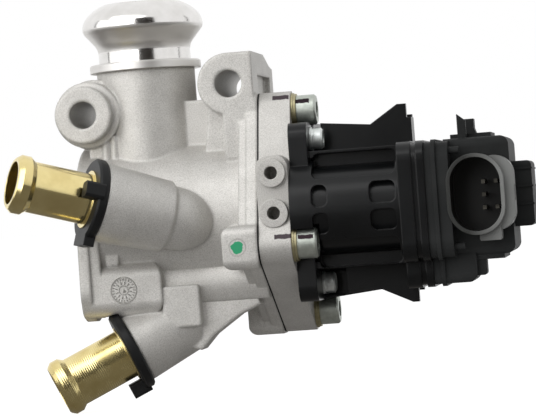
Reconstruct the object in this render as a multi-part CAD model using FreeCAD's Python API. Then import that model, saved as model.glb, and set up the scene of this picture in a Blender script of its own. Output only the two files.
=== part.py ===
import FreeCAD, Part
import math
import os

# EGR valve with an electric actuator, in millimetres.
# The origin is the centre of the gas inlet port on the face of the inlet flange.
# +X runs along the valve stem towards the actuator, +Z up along the outlet nozzle,
# and +Y towards the engine block that the valve is bolted to.

V = FreeCAD.Vector
X_AXIS = V(1, 0, 0)
Y_AXIS = V(0, 1, 0)
Z_AXIS = V(0, 0, 1)

# Clearances
RUNNING_FIT = 0.04
SLIDE_GAP = 0.1
FREE_GAP = 0.6

# Gas path
INLET_R = 12.5
CHAMBER_R = 15.0
CHAMBER_X = 9.0
SEAT_RING_X = 5.0
SEAT_RING_R = 14.0
SEAT_HOLE_R = 10.5
SEAT_CHAMFER = 1.5
POPPET_SEAT_GAP = 0.07
VALVE_LIFT = 6.0

# Valve housing
BODY_R = 26.2
FLANGE_T = 7.0
FLANGE_STEP_X = 3.6
FLANGE_STEP = 1.2
FLANGE_LOBE_R = 10.0
FLANGE_BOLT_Y = 17.0
FLANGE_BOLT_Z = 21.0
FLANGE_BOLT_HOLE_R = 4.25
FLANGE_BOSS_END_X = 26.8
FLANGE_BOSS_HALF = 8.9
FLANGE_BOSS_ROUND = 5.0
ENGINE_FACE_Y = 30.0
BOSS_FRONT_Y = -19.0
M8_HOLE_R = 4.5
LEFT_BOSS = (3.4, 37.1)
LEFT_BOSS_R = 9.4
LEFT_BOSS_STEPS = ((0.8, 1.5, 4.0), (2.2, 2.4, 9.0))
LEFT_WALL_FRONT_Y = -13.0
LEFT_RIB_X = (9.4, 12.3)
LEFT_RIB_R = 1.5
RIGHT_BOSS = (52.4, 43.7)
RIGHT_BOSS_R = 10.1
RIGHT_BOSS_FLAT_X = 60.6
RIGHT_BOSS_BACK_Z = 48.5
BOSS_POCKET_DEPTH = 2.0
WEB_FRONT_Y = -9.0
WEB_TOP_Z = 39.5
BOSS_WALL_BACK = 6.0
JOINT_FLANGE_T = 6.4
JOINT_RIM_T = 3.8
JOINT_STEP = 1.2
JOINT_X = 61.4

# Outlet tower and nozzle
NOZZLE_X = 22.1
TOWER_R = 16.4
TOWER_TOP_Z = 51.0
TOWER_BORE_R = 12.8
NOZZLE_BORE_R = 12.3
NOZZLE_COLLAR_R = 18.6
NOZZLE_COLLAR_T = 2.7
NOZZLE_TUBE_R = 15.4
NOZZLE_TUBE_TOP_Z = 57.4
NOZZLE_BULB_R = 20.2
NOZZLE_BULB_Z = 66.0
NOZZLE_DOME_H = 10.0
NOZZLE_LIP_R = 13.0
NOZZLE_SHANK_R = 14.6
NOZZLE_SHANK_L = 11.0

# Coolant pipes: start of each pipe at its collar, turn in the XZ plane and lean to the front
PIPE_R = 8.25
PIPE_BORE_R = 7.0
PIPE_OUT_L = 29.0
PIPE_INSERT_L = 12.0
PIPE_BEAD_R = 9.5
PIPE_BEAD_L = 6.0
PIPE_BEAD_LAND = 2.6
PIPE_SHOULDER_R = 9.4
PIPE_SHOULDER_PROUD = 0.4
COLLAR_R = 13.5
COLLAR_T = 3.5
COLLAR_RELIEF = 0.6
COLLAR_CHAMFER = 0.7
COLLAR_PEG_W = 5.0
COLLAR_PEG_H = 4.6
COLLAR_TAB_W = 12.0
COLLAR_TAB_REACH = 15.0
UPPER_PIPE_AT = V(10.4, -39.0, 8.2)
UPPER_PIPE_RISE = 17.8
UPPER_PIPE_LEAN = 26.0
UPPER_BOSS_R = 12.9
UPPER_BOSS_STEP_L = 24.0
UPPER_BOSS_END_R = 10.4
UPPER_BOSS_DOME = 14.5
UPPER_BOSS_L = 39.5
LOWER_PIPE_AT = V(15.5, -18.0, -40.6)
LOWER_PIPE_RISE = -25.2
LOWER_PIPE_LEAN = 14.0
LOWER_BOSS_R = 11.7
LOWER_BOSS_DOME = 5.0
LOWER_BOSS_L = 24.0
BOSS_TAPER = 1.2
UPPER_PEG_SIDE = V(0, -1, 0.3)
UPPER_TAB_SIDE = V(0, 0, -1)
LOWER_PEG_SIDE = V(0, 0, -1)
COOLANT_BORE_R = 5.5
JACKET_IN_R = 18.2
JACKET_OUT_R = 22.8
JACKET_START_X = 29.0
JACKET_END_X = 50.0

# Carrier between the housing and the actuator
GASKET_T = 0.5
CARRIER_T = 10.3
CARRIER_BOLT_R = 35.4
CARRIER_BOLT_ANGLES = (109.8, 196.2, 289.8, 16.2)
CARRIER_LOBE_R = 6.6
SPIGOT_L = 11.0
THREAD_BOSS_L = 11.5
THREAD_BOSS_HALF = 7.0
THREAD_BOSS_ROUND = 3.0
FRONT_PAD_Y = -36.6
FRONT_PAD_ROUND = 4.0
FRONT_BOSS_R = 4.6
FRONT_BOSS_H = 2.2
FRONT_BOSS_HOLE_R = 2.1
FRONT_BOSS_DEPTH = 12.0
FRONT_BOSS_Z = (0.4, 13.3)

# M6 carrier bolts
M6_R = 3.0
M6_CLEARANCE_R = 3.3
M6_HEAD_R = 5.0
M6_HEAD_H = 6.4
M6_SOCKET_AF = 5.0
WASHER_R = 5.9
WASHER_T = 0.8
M6_GRIP_IN_HOUSING = 9.0
HEAD_CHAMFER = 0.6
SCALLOP_GAP = 0.5
SCALLOP_L = 9.0

# Stem, guide, seal and spring
STEM_R = 3.5
GUIDE_R = 6.0
GUIDE_START_X = 54.0
GUIDE_END_X = 67.5
SEAL_R = 9.0
SEAL_T = 4.2
SPRING_R = 6.9
SPRING_WIRE = 1.1
SPRING_TURNS = 5
SPRING_BORE_R = 8.0
RETAINER_T = 1.5
RETAINER_R = 7.4
WEB_X = 98.0
SPRING_SEAT_T = 0.8

# Actuator housing
ACT_FLANGE_T = 6.0
ACT_FLANGE_HALF_Z = 29.0
ACT_FLANGE_FRONT_Y = -30.0
ACT_BACK_Y = 19.0
MOTOR_Y = -23.0
BARREL_R = 16.4
BARREL_POCKET_R = 14.3
BARREL_RIB_T = 2.0
BARREL_RIB_Z = (-8.3, 0.3, 9.3)
BARREL_BAND_X = (84.4, 98.0)
BARREL_POCKET_ROUND = 2.0
BARREL_POCKET_WALL = 1.2
LEDGE_TOP_Z = 19.4
LEDGE_BOTTOM_Z = -18.6
LEDGE_T = 2.3
END_WALL_X = 107.5
END_WALL_T = 4.5
END_TAB_TOP_Z = 28.4
END_TAB_Y = (-14.0, -4.0)
FIN_T = 3.0
FIN_Y = (-14.0, 8.0)
FIN_KNEE = (97.5, 27.0)
FIN_TOP_PEAK = (106.6, 32.9)
FIN_BOTTOM_PEAK = (107.4, 31.8)
FIN_END_X = 109.5
FIN_REAR_DROP = 3.0

# M4 screws of the actuator: Y and Z of each, inside the outline of the carrier
SCREW_PLACES = ((-19.5, 23.5), (12.5, 23.5), (19.5, -23.5), (-12.5, -23.5))
M4_R = 2.0
M4_HEAD_R = 3.5
M4_HEAD_H = 2.7
M4_SOCKET_AF = 3.0
M4_WASHER_T = 0.8
M4_WASHER_R = 3.9
M4_POCKET_L = 8.0

# Gear housing, cover and sensor chamber
RIM_T = 4.0
GEAR_FRONT_Y = -39.6
GEAR_BACK_Y = 18.0
GEAR_TOP_Z = 19.3
GEAR_BOTTOM_Z = -17.6
GEAR_CORNER_R = 6.0
GEAR_LIP = 0.8
RIM_LIP_T = 2.4
COVER_GROOVE = 2.4
COVER_LIP_T = 1.4
BULGE_FRONT_Y = -29.5
BULGE_BACK_Y = 1.0
BULGE_BOTTOM_Z = -26.2
COVER_T = 7.8
COVER_WALL = 1.8
SENSOR_FRONT_Y = -30.0
SENSOR_BACK_Y = 12.0
SENSOR_TOP_Z = 20.0
SENSOR_BOTTOM_Z = -17.8
SENSOR_CAVITY_HALF = 11.0
SENSOR_ROUND = 3.0
SENSOR_END_WALL = 1.6
SENSOR_STRIP_T = 1.4
LUG_TOP_Z = 27.8
LUG_T = 2.7
FOOT_L = 14.0
PEG_R = 1.1
PEG_L = 3.4
PEG_PLACES = ((-36.0, 16.2), (-36.0, -14.2))
BOARD_T = 1.6
CAP_PLUG_L = 4.0
CAP_L = 6.3
CAP_Z = (-9.6, 11.5)
CAP_FRONT_Y = -19.0
CAP_BACK_Y = 9.0
CAP_RIBS = 3
CAP_RIB_PITCH = 5.7
CAP_RIB_T = 0.6

# Connector
CONNECTOR_FROM_COVER = 8.1
CONNECTOR_Z = 1.8
CONNECTOR_MOUTH_Y = -42.5
CONNECTOR_FLOOR_Y = -27.5
CONNECTOR_HALF_W = 7.9
CONNECTOR_HALF_H = 11.7
CONNECTOR_WALL = 1.2
CONNECTOR_BACK = 3.5
CONNECTOR_SIDE = 3.0
CONNECTOR_LIP_L = 3.0
CONNECTOR_LATCH_DROP = 2.0
PIN_TIP_Y = -37.0
PIN_SIZE = 1.2
PIN_OFFSETS = ((2.3, 3.8), (2.3, -0.3), (2.3, -4.4), (6.3, 3.8), (6.3, -4.4))

# Gear train: modules and tooth counts
PRESSURE_ANGLE = 25.0
FINE_MODULE = 0.6
COARSE_MODULE = 0.8
PINION_TEETH = 10
IDLER_LARGE_TEETH = 38
IDLER_SMALL_TEETH = 11
OUTPUT_TEETH = 36
BACKLASH = 0.16
OUTPUT_TRAVEL_DEG = 100.0
IDLER_LARGE_T = 3.0
OUTPUT_GEAR_T = 4.4
GEAR_PIN_R = 2.0
IDLER_PIN_R = 1.5

# Barrel cam on the output gear and the cross pin of the stem
HUB_R = 7.4
HUB_BORE_R = 5.0
HUB_NECK_R = 6.0
HUB_FROM_WEB = 3.5
CROSS_PIN_FROM_WEB = 6.5
CROSS_PIN_R = 1.0
CROSS_PIN_HALF_L = 9.0
CAM_SLOT_W = 2.9
CAM_SLOT_MARGIN_DEG = 13.0
PIN_GROOVE_HALF_W = 1.15

# Motor
CAN_R = 11.8
CAN_WALL = 1.0
CAN_START_X = 84.0
CAN_END_X = 104.5
MOTOR_CAP_T = 3.5
MAGNET_T = 2.0
ARMATURE_R = 8.9
ARMATURE_START_X = 89.2
ARMATURE_L = 9.5
SHAFT_R = 1.5
BUSH_R = 3.0
BUSH_L = 3.0
COMMUTATOR_R = 3.6
COMMUTATOR_X = 101.2
COMMUTATOR_L = 2.8
BRUSH_W = 3.0
BRUSH_L = 3.4

# Worked-out places
POPPET_R = SEAT_HOLE_R + SEAT_CHAMFER
CARRIER_X = JOINT_X + GASKET_T
ACT_X = CARRIER_X + CARRIER_T
ACT_FLANGE_END_X = ACT_X + ACT_FLANGE_T
RIM_X = END_WALL_X + END_WALL_T
COVER_X = RIM_X + RIM_T
COVER_END_X = COVER_X + COVER_T
MOTOR_CAP_X = CAN_END_X
RETAINER_X = WEB_X - 17.0
HUB_START_X = WEB_X + HUB_FROM_WEB
CROSS_PIN_X = WEB_X + CROSS_PIN_FROM_WEB
STEM_END_X = CROSS_PIN_X + 4.0
SPRING_START_X = RETAINER_X + RETAINER_T
SPRING_END_X = WEB_X - SPRING_SEAT_T
GEAR_PIN_START_X = STEM_END_X + VALVE_LIFT + FREE_GAP
IDLER_LARGE_X = RIM_X + 0.8
OUTPUT_GEAR_X = IDLER_LARGE_X + 4.0
CONNECTOR_X = COVER_END_X + CONNECTOR_FROM_COVER
CONNECTOR_REACH = CONNECTOR_HALF_W + CONNECTOR_WALL
CONNECTOR_RISE = CONNECTOR_HALF_H + CONNECTOR_WALL
SENSOR_BOX_END_X = CONNECTOR_X + CONNECTOR_REACH + SENSOR_END_WALL
SENSOR_CAVITY_START_X = COVER_END_X + 1.8
BOARD_X = SENSOR_CAVITY_START_X + 0.9
PIN_PLACES = [(CONNECTOR_X + across, CONNECTOR_Z + up) for across, up in PIN_OFFSETS]
FIRST_CENTRES = FINE_MODULE * (PINION_TEETH + IDLER_LARGE_TEETH) / 2
SECOND_CENTRES = COARSE_MODULE * (IDLER_SMALL_TEETH + OUTPUT_TEETH) / 2


def idler_place():
    """Y and Z of the idler pin, from the two centre distances."""
    across = abs(MOTOR_Y)
    along = (SECOND_CENTRES ** 2 + across ** 2 - FIRST_CENTRES ** 2) / (2 * across)
    drop = math.sqrt(SECOND_CENTRES ** 2 - along ** 2)
    return -along, -drop


IDLER_Y, IDLER_Z = idler_place()


# Plain forms

def rod(radius, start, length, axis=X_AXIS):
    return Part.makeCylinder(radius, length, start, axis)


def x_rod(radius, x0, x1, y=0.0, z=0.0):
    return rod(radius, V(x0, y, z), x1 - x0)


def block(x0, x1, y0, y1, z0, z1):
    return Part.makeBox(x1 - x0, y1 - y0, z1 - z0, V(x0, y0, z0))


def joined(first, *others):
    shape = first
    for other in others:
        shape = shape.fuse(other)
    return shape.removeSplitter()


def spun(edges, start, axis):
    """A revolved solid from a closed chain of edges in the XZ plane, drawn with its axis along Z."""
    solid = Part.Face(Part.Wire(edges)).revolve(V(0, 0, 0), Z_AXIS, 360)
    solid.Placement = FreeCAD.Placement(start, FreeCAD.Rotation(Z_AXIS, axis))
    return solid


def chain(corners):
    """Straight edges through (distance along the axis, radius) corners."""
    points = [V(radius, 0, along) for along, radius in corners]
    return [Part.makeLine(first, second) for first, second in zip(points, points[1:])]


def turned(profile, start, axis):
    """A revolved solid. The profile has (distance along the axis, radius) corners from axis to axis."""
    return spun(chain(profile + [profile[0]]), start, axis)


def dome_edge(along, height, reach, inner=0.0):
    """A quarter of an ellipse from radius reach at a place along the axis in to radius inner."""
    centre = V(0, 0, along)
    if height > reach:
        ellipse = Part.Ellipse(centre + V(0, 0, height), centre + V(reach, 0, 0), centre)
        turns = (math.asin(inner / reach), math.pi / 2)
    else:
        ellipse = Part.Ellipse(centre + V(reach, 0, 0), centre + V(0, 0, height), centre)
        turns = (0, math.acos(inner / reach))
    return Part.ArcOfEllipse(ellipse, turns[0], turns[1]).toShape()


def rounded_outline(u0, u1, v0, v1, radius):
    """A closed wire in the XY plane: a rectangle with round corners."""
    radius = min(radius, (u1 - u0) / 2 - 0.01, (v1 - v0) / 2 - 0.01)
    middles = ((u1 - radius, v1 - radius, 0), (u0 + radius, v1 - radius, 90),
               (u0 + radius, v0 + radius, 180), (u1 - radius, v0 + radius, 270))
    edges = []
    last = None
    first = None
    for u, v, turn in middles:
        arc = [V(u + radius * math.cos(math.radians(turn + part)),
                 v + radius * math.sin(math.radians(turn + part)), 0) for part in (0, 45, 90)]
        if last is not None:
            edges.append(Part.makeLine(last, arc[0]))
        else:
            first = arc[0]
        edges.append(Part.Arc(arc[0], arc[1], arc[2]).toShape())
        last = arc[2]
    edges.append(Part.makeLine(last, first))
    return Part.Wire(edges)


def across_x(wire, x0, x1):
    """A plate between two places on X, from a flat outline drawn in Y and Z."""
    solid = Part.Face(wire).extrude(V(0, 0, x1 - x0))
    solid.Placement = FreeCAD.Placement(V(x0, 0, 0), FreeCAD.Rotation(Y_AXIS, Z_AXIS, X_AXIS, "XYZ"))
    return solid


def x_slab(x0, x1, y0, y1, z0, z1, radius):
    """A plate across the X axis with round corners in the YZ plane."""
    return across_x(rounded_outline(y0, y1, z0, z1, radius), x0, x1)


def y_slab(x0, x1, y0, y1, z0, z1, radius):
    """A plate across the Y axis with round corners in the XZ plane."""
    solid = Part.Face(rounded_outline(x0, x1, z0, z1, radius)).extrude(V(0, 0, y0 - y1))
    solid.Placement = FreeCAD.Placement(V(0, y0, 0), FreeCAD.Rotation(X_AXIS, Z_AXIS, Y_AXIS * -1, "XYZ"))
    return solid


def end_rounded(end_x, back_x, y0, y1, z0, z1, radius):
    """A block along X with round edges, whose end at end_x is also round as seen from the front."""
    far_x = 2 * back_x - end_x
    across = x_slab(min(end_x, back_x), max(end_x, back_x), y0, y1, z0, z1, radius)
    side_on = y_slab(min(end_x, far_x), max(end_x, far_x), y0, y1, z0, z1, radius)
    return across.common(side_on)


def belt_outline(circles):
    """A closed wire round circles (u, v, radius) given anticlockwise, like a belt on pulleys."""
    ways_out = []
    for index, (u, v, radius) in enumerate(circles):
        next_u, next_v, next_radius = circles[(index + 1) % len(circles)]
        distance = math.hypot(next_u - u, next_v - v)
        along = V((next_u - u) / distance, (next_v - v) / distance, 0)
        tilt = (radius - next_radius) / distance
        ways_out.append(along * tilt + V(along.y, -along.x, 0) * math.sqrt(1 - tilt ** 2))
    edges = []
    for index, (u, v, radius) in enumerate(circles):
        next_u, next_v, next_radius = circles[(index + 1) % len(circles)]
        before = ways_out[index - 1]
        after = ways_out[index]
        middle = before + after
        middle.normalize()
        centre = V(u, v, 0)
        edges.append(Part.Arc(centre + before * radius, centre + middle * radius,
                              centre + after * radius).toShape())
        edges.append(Part.makeLine(centre + after * radius, V(next_u, next_v, 0) + after * next_radius))
    return Part.Wire(edges)


def x_prism(points, x0, x1):
    """A solid with (y, z) corners between two places on X."""
    corners = [V(x0, y, z) for y, z in points]
    return Part.Face(Part.makePolygon(corners + [corners[0]])).extrude(V(x1 - x0, 0, 0))


def y_prism(points, y0, y1):
    """A solid with (x, z) corners between two places on Y."""
    corners = [V(x, y0, z) for x, z in points]
    return Part.Face(Part.makePolygon(corners + [corners[0]])).extrude(V(0, y1 - y0, 0))


def on_circle(radius, angle_deg):
    """Y and Z at an angle about the stem axis, from +Y towards +Z."""
    angle = math.radians(angle_deg)
    return radius * math.cos(angle), radius * math.sin(angle)


def hex_prism(across_flats, x0, x1, y, z):
    corner_r = across_flats / math.sqrt(3)
    corners = []
    for side in range(6):
        dy, dz = on_circle(corner_r, 60 * side)
        corners.append(V(x0, y + dy, z + dz))
    return Part.Face(Part.makePolygon(corners + [corners[0]])).extrude(V(x1 - x0, 0, 0))


# Coolant pipes

def pipe_direction(rise, lean):
    """Unit vector from the collar out to the mouth of a pipe."""
    flat = math.cos(math.radians(lean))
    return V(-flat * math.cos(math.radians(rise)), -math.sin(math.radians(lean)),
             flat * math.sin(math.radians(rise)))


UPPER_PIPE_WAY = pipe_direction(UPPER_PIPE_RISE, UPPER_PIPE_LEAN)
LOWER_PIPE_WAY = pipe_direction(LOWER_PIPE_RISE, LOWER_PIPE_LEAN)


def water_pipe(start, way):
    bead_start = PIPE_OUT_L - PIPE_BEAD_L
    shoulder_end = COLLAR_T + PIPE_SHOULDER_PROUD
    profile = [(-PIPE_INSERT_L, PIPE_BORE_R), (-PIPE_INSERT_L, PIPE_R), (0, PIPE_R), (0, PIPE_SHOULDER_R),
               (shoulder_end, PIPE_SHOULDER_R), (shoulder_end, PIPE_R), (bead_start, PIPE_R)]
    slope = (PIPE_BEAD_L - PIPE_BEAD_LAND) / 2
    profile.append((bead_start + slope, PIPE_BEAD_R))
    profile.append((bead_start + slope + PIPE_BEAD_LAND, PIPE_BEAD_R))
    profile.append((PIPE_OUT_L - 0.3, PIPE_R + 0.15))
    profile.append((PIPE_OUT_L, PIPE_R - 0.3))
    profile.append((PIPE_OUT_L, PIPE_BORE_R))
    return turned(profile, start, way)


def turn_towards(way, side):
    """Angle about a pipe's axis, in degrees, at which something on it faces the given side."""
    flat = FreeCAD.Rotation(Z_AXIS, way).inverted().multVec(side)
    return math.degrees(math.atan2(flat.y, flat.x))


def collar_tab(way, side, grow=0.0):
    """The flat tab on the rim of a stop collar, on the pipe's own axes."""
    tab = Part.makeBox(COLLAR_TAB_REACH + grow, COLLAR_TAB_W + 2 * grow, COLLAR_T + grow,
                       V(0, -COLLAR_TAB_W / 2 - grow, 0))
    tab.rotate(V(0, 0, 0), Z_AXIS, turn_towards(way, side))
    return tab


def pipe_collar(start, way, peg_side, tab_side=None):
    """Stop collar at the foot of a pipe, with a square peg on its face and, where it has one, a tab."""
    disc = Part.makeCylinder(COLLAR_R, COLLAR_T)
    rim = [edge for edge in disc.Edges if edge.Length > COLLAR_T * 2]
    disc = disc.makeChamfer(COLLAR_CHAMFER, rim)
    peg = Part.makeBox(COLLAR_PEG_W, COLLAR_PEG_W, COLLAR_PEG_H + COLLAR_T / 2,
                       V(COLLAR_R - COLLAR_PEG_W + 1, -COLLAR_PEG_W / 2, COLLAR_T / 2))
    upright = [edge for edge in peg.Edges if abs(edge.tangentAt(edge.FirstParameter).z) > 0.9]
    peg = peg.makeChamfer(COLLAR_CHAMFER, upright)
    peg.rotate(V(0, 0, 0), Z_AXIS, turn_towards(way, peg_side))
    shape = joined(disc, peg)
    if tab_side is not None:
        shape = joined(shape, collar_tab(way, tab_side))
    shape = shape.cut(Part.makeCylinder(PIPE_SHOULDER_R, COLLAR_T + PIPE_SHOULDER_PROUD))
    shape.Placement = FreeCAD.Placement(start, FreeCAD.Rotation(Z_AXIS, way))
    return shape


def collar_room(start, way, tab_side=None):
    """The space that a stop collar takes, with some relief round it."""
    room = Part.makeCylinder(COLLAR_R + COLLAR_RELIEF, COLLAR_T + COLLAR_RELIEF)
    if tab_side is not None:
        room = room.fuse(collar_tab(way, tab_side, COLLAR_RELIEF))
    room.Placement = FreeCAD.Placement(start, FreeCAD.Rotation(Z_AXIS, way))
    return room


# Valve housing

def carrier_outline(x0, x1, lobe_r=CARRIER_LOBE_R):
    """The rounded diamond round the four bolts that the housing flange, the gasket and the carrier share."""
    places = [on_circle(CARRIER_BOLT_R, angle) for angle in CARRIER_BOLT_ANGLES]
    return across_x(belt_outline([(y, z, lobe_r) for y, z in places]), x0, x1)


def joint_flange():
    """The flange that the carrier is bolted to, with a lower step behind its rim."""
    rim_x = JOINT_X - JOINT_RIM_T
    return [carrier_outline(JOINT_X - JOINT_FLANGE_T, rim_x, CARRIER_LOBE_R - JOINT_STEP),
            carrier_outline(rim_x, JOINT_X)]


def inlet_flange():
    """Two-bolt flange round the gas port, stepped at its lobes, with a square boss behind each bolt."""
    forms = []
    for x0, x1, lobe_r in ((0, FLANGE_STEP_X, FLANGE_LOBE_R),
                           (FLANGE_STEP_X, FLANGE_T, FLANGE_LOBE_R - FLANGE_STEP)):
        low = (-FLANGE_BOLT_Y, -FLANGE_BOLT_Z, lobe_r)
        high = (FLANGE_BOLT_Y, FLANGE_BOLT_Z, lobe_r)
        hub = (0, 0, BODY_R)
        forms.append(across_x(belt_outline([low, hub, high, hub]), x0, x1))
    for side in (-1, 1):
        y = side * FLANGE_BOLT_Y
        z = side * FLANGE_BOLT_Z
        forms.append(end_rounded(FLANGE_BOSS_END_X, 0, y - FLANGE_BOSS_HALF, y + FLANGE_BOSS_HALF,
                                 z - FLANGE_BOSS_HALF, z + FLANGE_BOSS_HALF, FLANGE_BOSS_ROUND))
    return forms


def left_engine_boss():
    """The round boss left of the tower, stepped behind its face, on a wall with two round ribs."""
    x, z = LEFT_BOSS
    forms = [rod(LEFT_BOSS_R, V(x, BOSS_FRONT_Y, z), ENGINE_FACE_Y - BOSS_FRONT_Y, Y_AXIS)]
    for shift, grow, back in LEFT_BOSS_STEPS:
        start = V(x + shift, BOSS_FRONT_Y + back, z)
        forms.append(rod(LEFT_BOSS_R + grow, start, ENGINE_FACE_Y - start.y, Y_AXIS))
    forms.append(y_slab(FLANGE_STEP_X, NOZZLE_X, LEFT_WALL_FRONT_Y, ENGINE_FACE_Y - BOSS_WALL_BACK,
                        BODY_R - TOWER_R, z, 2.0))
    for rib_x in LEFT_RIB_X:
        foot = V(rib_x, LEFT_WALL_FRONT_Y, BODY_R - TOWER_R)
        forms.append(rod(LEFT_RIB_R, foot, z - LEFT_BOSS_R + 2 - foot.z, Z_AXIS))
    return forms


def right_engine_boss():
    """The boss right of the tower: round on one side, square with a bevelled back on the other."""
    x, z = RIGHT_BOSS
    top_z = z + RIGHT_BOSS_R
    foot_z = z - RIGHT_BOSS_R
    body_z = BODY_R * 0.7
    square = x_prism([(BOSS_FRONT_Y, foot_z), (ENGINE_FACE_Y, foot_z), (ENGINE_FACE_Y, RIGHT_BOSS_BACK_Z),
                      (ENGINE_FACE_Y / 3, top_z), (BOSS_FRONT_Y, top_z)], x, RIGHT_BOSS_FLAT_X)
    neck = y_prism([(x - RIGHT_BOSS_R * 0.8, foot_z + 3), (RIGHT_BOSS_FLAT_X, foot_z + 3),
                    (RIGHT_BOSS_FLAT_X, body_z), (x - RIGHT_BOSS_R, body_z)],
                   BOSS_FRONT_Y + 5, ENGINE_FACE_Y - BOSS_WALL_BACK)
    web = block(NOZZLE_X, x, WEB_FRONT_Y, ENGINE_FACE_Y - BOSS_WALL_BACK, BODY_R * 0.6, WEB_TOP_Z)
    bore_side = rod(RIGHT_BOSS_R, V(x, BOSS_FRONT_Y, z), ENGINE_FACE_Y - BOSS_FRONT_Y, Y_AXIS).common(
        block(x - RIGHT_BOSS_R, RIGHT_BOSS_FLAT_X, BOSS_FRONT_Y, ENGINE_FACE_Y, foot_z, top_z))
    return [bore_side, square, neck, web]


def domed_boss(start, way, root_r, end_r, length, dome):
    """A cast boss behind a collar that narrows a little and ends in an elliptical dome."""
    straight = length - dome
    edges = chain([(length, 0), (0, 0), (0, root_r), (straight, end_r)])
    return spun(edges + [dome_edge(straight, dome, end_r)], start, way * -1)


def pipe_bosses():
    root = turned([(0, 0), (0, UPPER_BOSS_R), (UPPER_BOSS_STEP_L - BOSS_TAPER, UPPER_BOSS_R - BOSS_TAPER),
                   (UPPER_BOSS_STEP_L, UPPER_BOSS_R - 2 * BOSS_TAPER), (UPPER_BOSS_STEP_L, 0)],
                  UPPER_PIPE_AT, UPPER_PIPE_WAY * -1)
    upper = domed_boss(UPPER_PIPE_AT, UPPER_PIPE_WAY, UPPER_BOSS_END_R, UPPER_BOSS_END_R, UPPER_BOSS_L,
                       UPPER_BOSS_DOME)
    lower = domed_boss(LOWER_PIPE_AT, LOWER_PIPE_WAY, LOWER_BOSS_R, LOWER_BOSS_R - BOSS_TAPER, LOWER_BOSS_L,
                       LOWER_BOSS_DOME)
    return [root, upper, lower]


def outer_half(centre, inner):
    """Low and high ends of a boss from its outer side to a place nearer the stem axis."""
    outer = centre + math.copysign(THREAD_BOSS_HALF, centre)
    return min(outer, inner), max(outer, inner)


def thread_bosses():
    """Rounded cast bosses behind the joint flange round the threads of the carrier bolts."""
    bosses = []
    for angle in CARRIER_BOLT_ANGLES:
        y, z = on_circle(CARRIER_BOLT_R, angle)
        y_ends = (y - THREAD_BOSS_HALF, y + THREAD_BOSS_HALF)
        z_ends = (z - THREAD_BOSS_HALF, z + THREAD_BOSS_HALF)
        if abs(y) > abs(z):
            y_ends = outer_half(y, y / 2)
        else:
            z_ends = outer_half(z, z / 2)
        bosses.append(end_rounded(JOINT_X - THREAD_BOSS_L, JOINT_X, y_ends[0], y_ends[1], z_ends[0], z_ends[1],
                                  THREAD_BOSS_ROUND))
    return bosses


def small_cast_forms():
    """The square pad, the web to the lower pipe boss and the small step by the flange."""
    pad = y_slab(26.6, 38.9, -25, -6, -34.5, -20.9, 1.2)
    web = y_prism([(33, -20), (JOINT_X - JOINT_FLANGE_T, -22), (58.2, -28.7), (50.7, -32), (41.9, -38),
                   (37.6, -42.6), (30, -40)], -20, -8)
    step = y_slab(FLANGE_T + 1.5, FLANGE_T + 6, -24.5, -12, -13, -7.5, 1.0)
    return [pad, web, step]


def jacket_space():
    """Coolant space round the lower front of the gas chamber, between the two pipe bores."""
    face = Part.Face(Part.makePolygon([V(JACKET_START_X, -JACKET_IN_R, 0), V(JACKET_START_X, -JACKET_OUT_R, 0),
                                       V(JACKET_END_X, -JACKET_OUT_R, 0), V(JACKET_END_X, -JACKET_IN_R, 0),
                                       V(JACKET_START_X, -JACKET_IN_R, 0)]))
    face.rotate(V(0, 0, 0), X_AXIS, -10)
    ring = face.revolve(V(0, 0, 0), X_AXIS, 100)
    riser_at = LOWER_PIPE_AT - LOWER_PIPE_WAY * (LOWER_BOSS_L - 8)
    riser = rod(COOLANT_BORE_R - 1, riser_at, 1.5 - JACKET_IN_R - riser_at.z, Z_AXIS)
    return [ring, riser]


def housing_bores():
    tools = [x_rod(INLET_R, -1, SEAT_RING_X), x_rod(SEAT_RING_R, SEAT_RING_X, CHAMBER_X),
             x_rod(CHAMBER_R, CHAMBER_X, JOINT_X + 1),
             rod(TOWER_BORE_R, V(NOZZLE_X, 0, 0), TOWER_TOP_Z, Z_AXIS),
             rod(NOZZLE_SHANK_R, V(NOZZLE_X, 0, TOWER_TOP_Z - NOZZLE_SHANK_L), NOZZLE_SHANK_L + 5, Z_AXIS)]
    for x, z in (LEFT_BOSS, RIGHT_BOSS):
        tools.append(rod(M8_HOLE_R, V(x, BOSS_FRONT_Y - 1, z), ENGINE_FACE_Y - BOSS_FRONT_Y + 2, Y_AXIS))
    tools.append(block(RIGHT_BOSS_FLAT_X - BOSS_POCKET_DEPTH, RIGHT_BOSS_FLAT_X + 1, BOSS_FRONT_Y + 12,
                       ENGINE_FACE_Y - 8, RIGHT_BOSS[1] - 4, RIGHT_BOSS_BACK_Z - 2))
    for side in (-1, 1):
        tools.append(x_rod(FLANGE_BOLT_HOLE_R, -1, FLANGE_BOSS_END_X + 1,
                           side * FLANGE_BOLT_Y, side * FLANGE_BOLT_Z))
    for start, way, depth in ((UPPER_PIPE_AT, UPPER_PIPE_WAY, UPPER_BOSS_L - 6),
                              (LOWER_PIPE_AT, LOWER_PIPE_WAY, LOWER_BOSS_L - 3)):
        tools.append(rod(PIPE_R, start, PIPE_INSERT_L, way * -1))
        tools.append(rod(COOLANT_BORE_R, start, depth, way * -1))
    tools.append(collar_room(UPPER_PIPE_AT, UPPER_PIPE_WAY, UPPER_TAB_SIDE))
    tools.append(collar_room(LOWER_PIPE_AT, LOWER_PIPE_WAY))
    for angle in CARRIER_BOLT_ANGLES:
        y, z = on_circle(CARRIER_BOLT_R, angle)
        tools.append(x_rod(M6_R, JOINT_X - M6_GRIP_IN_HOUSING, JOINT_X + 1, y, z))
    return tools + jacket_space()


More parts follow.
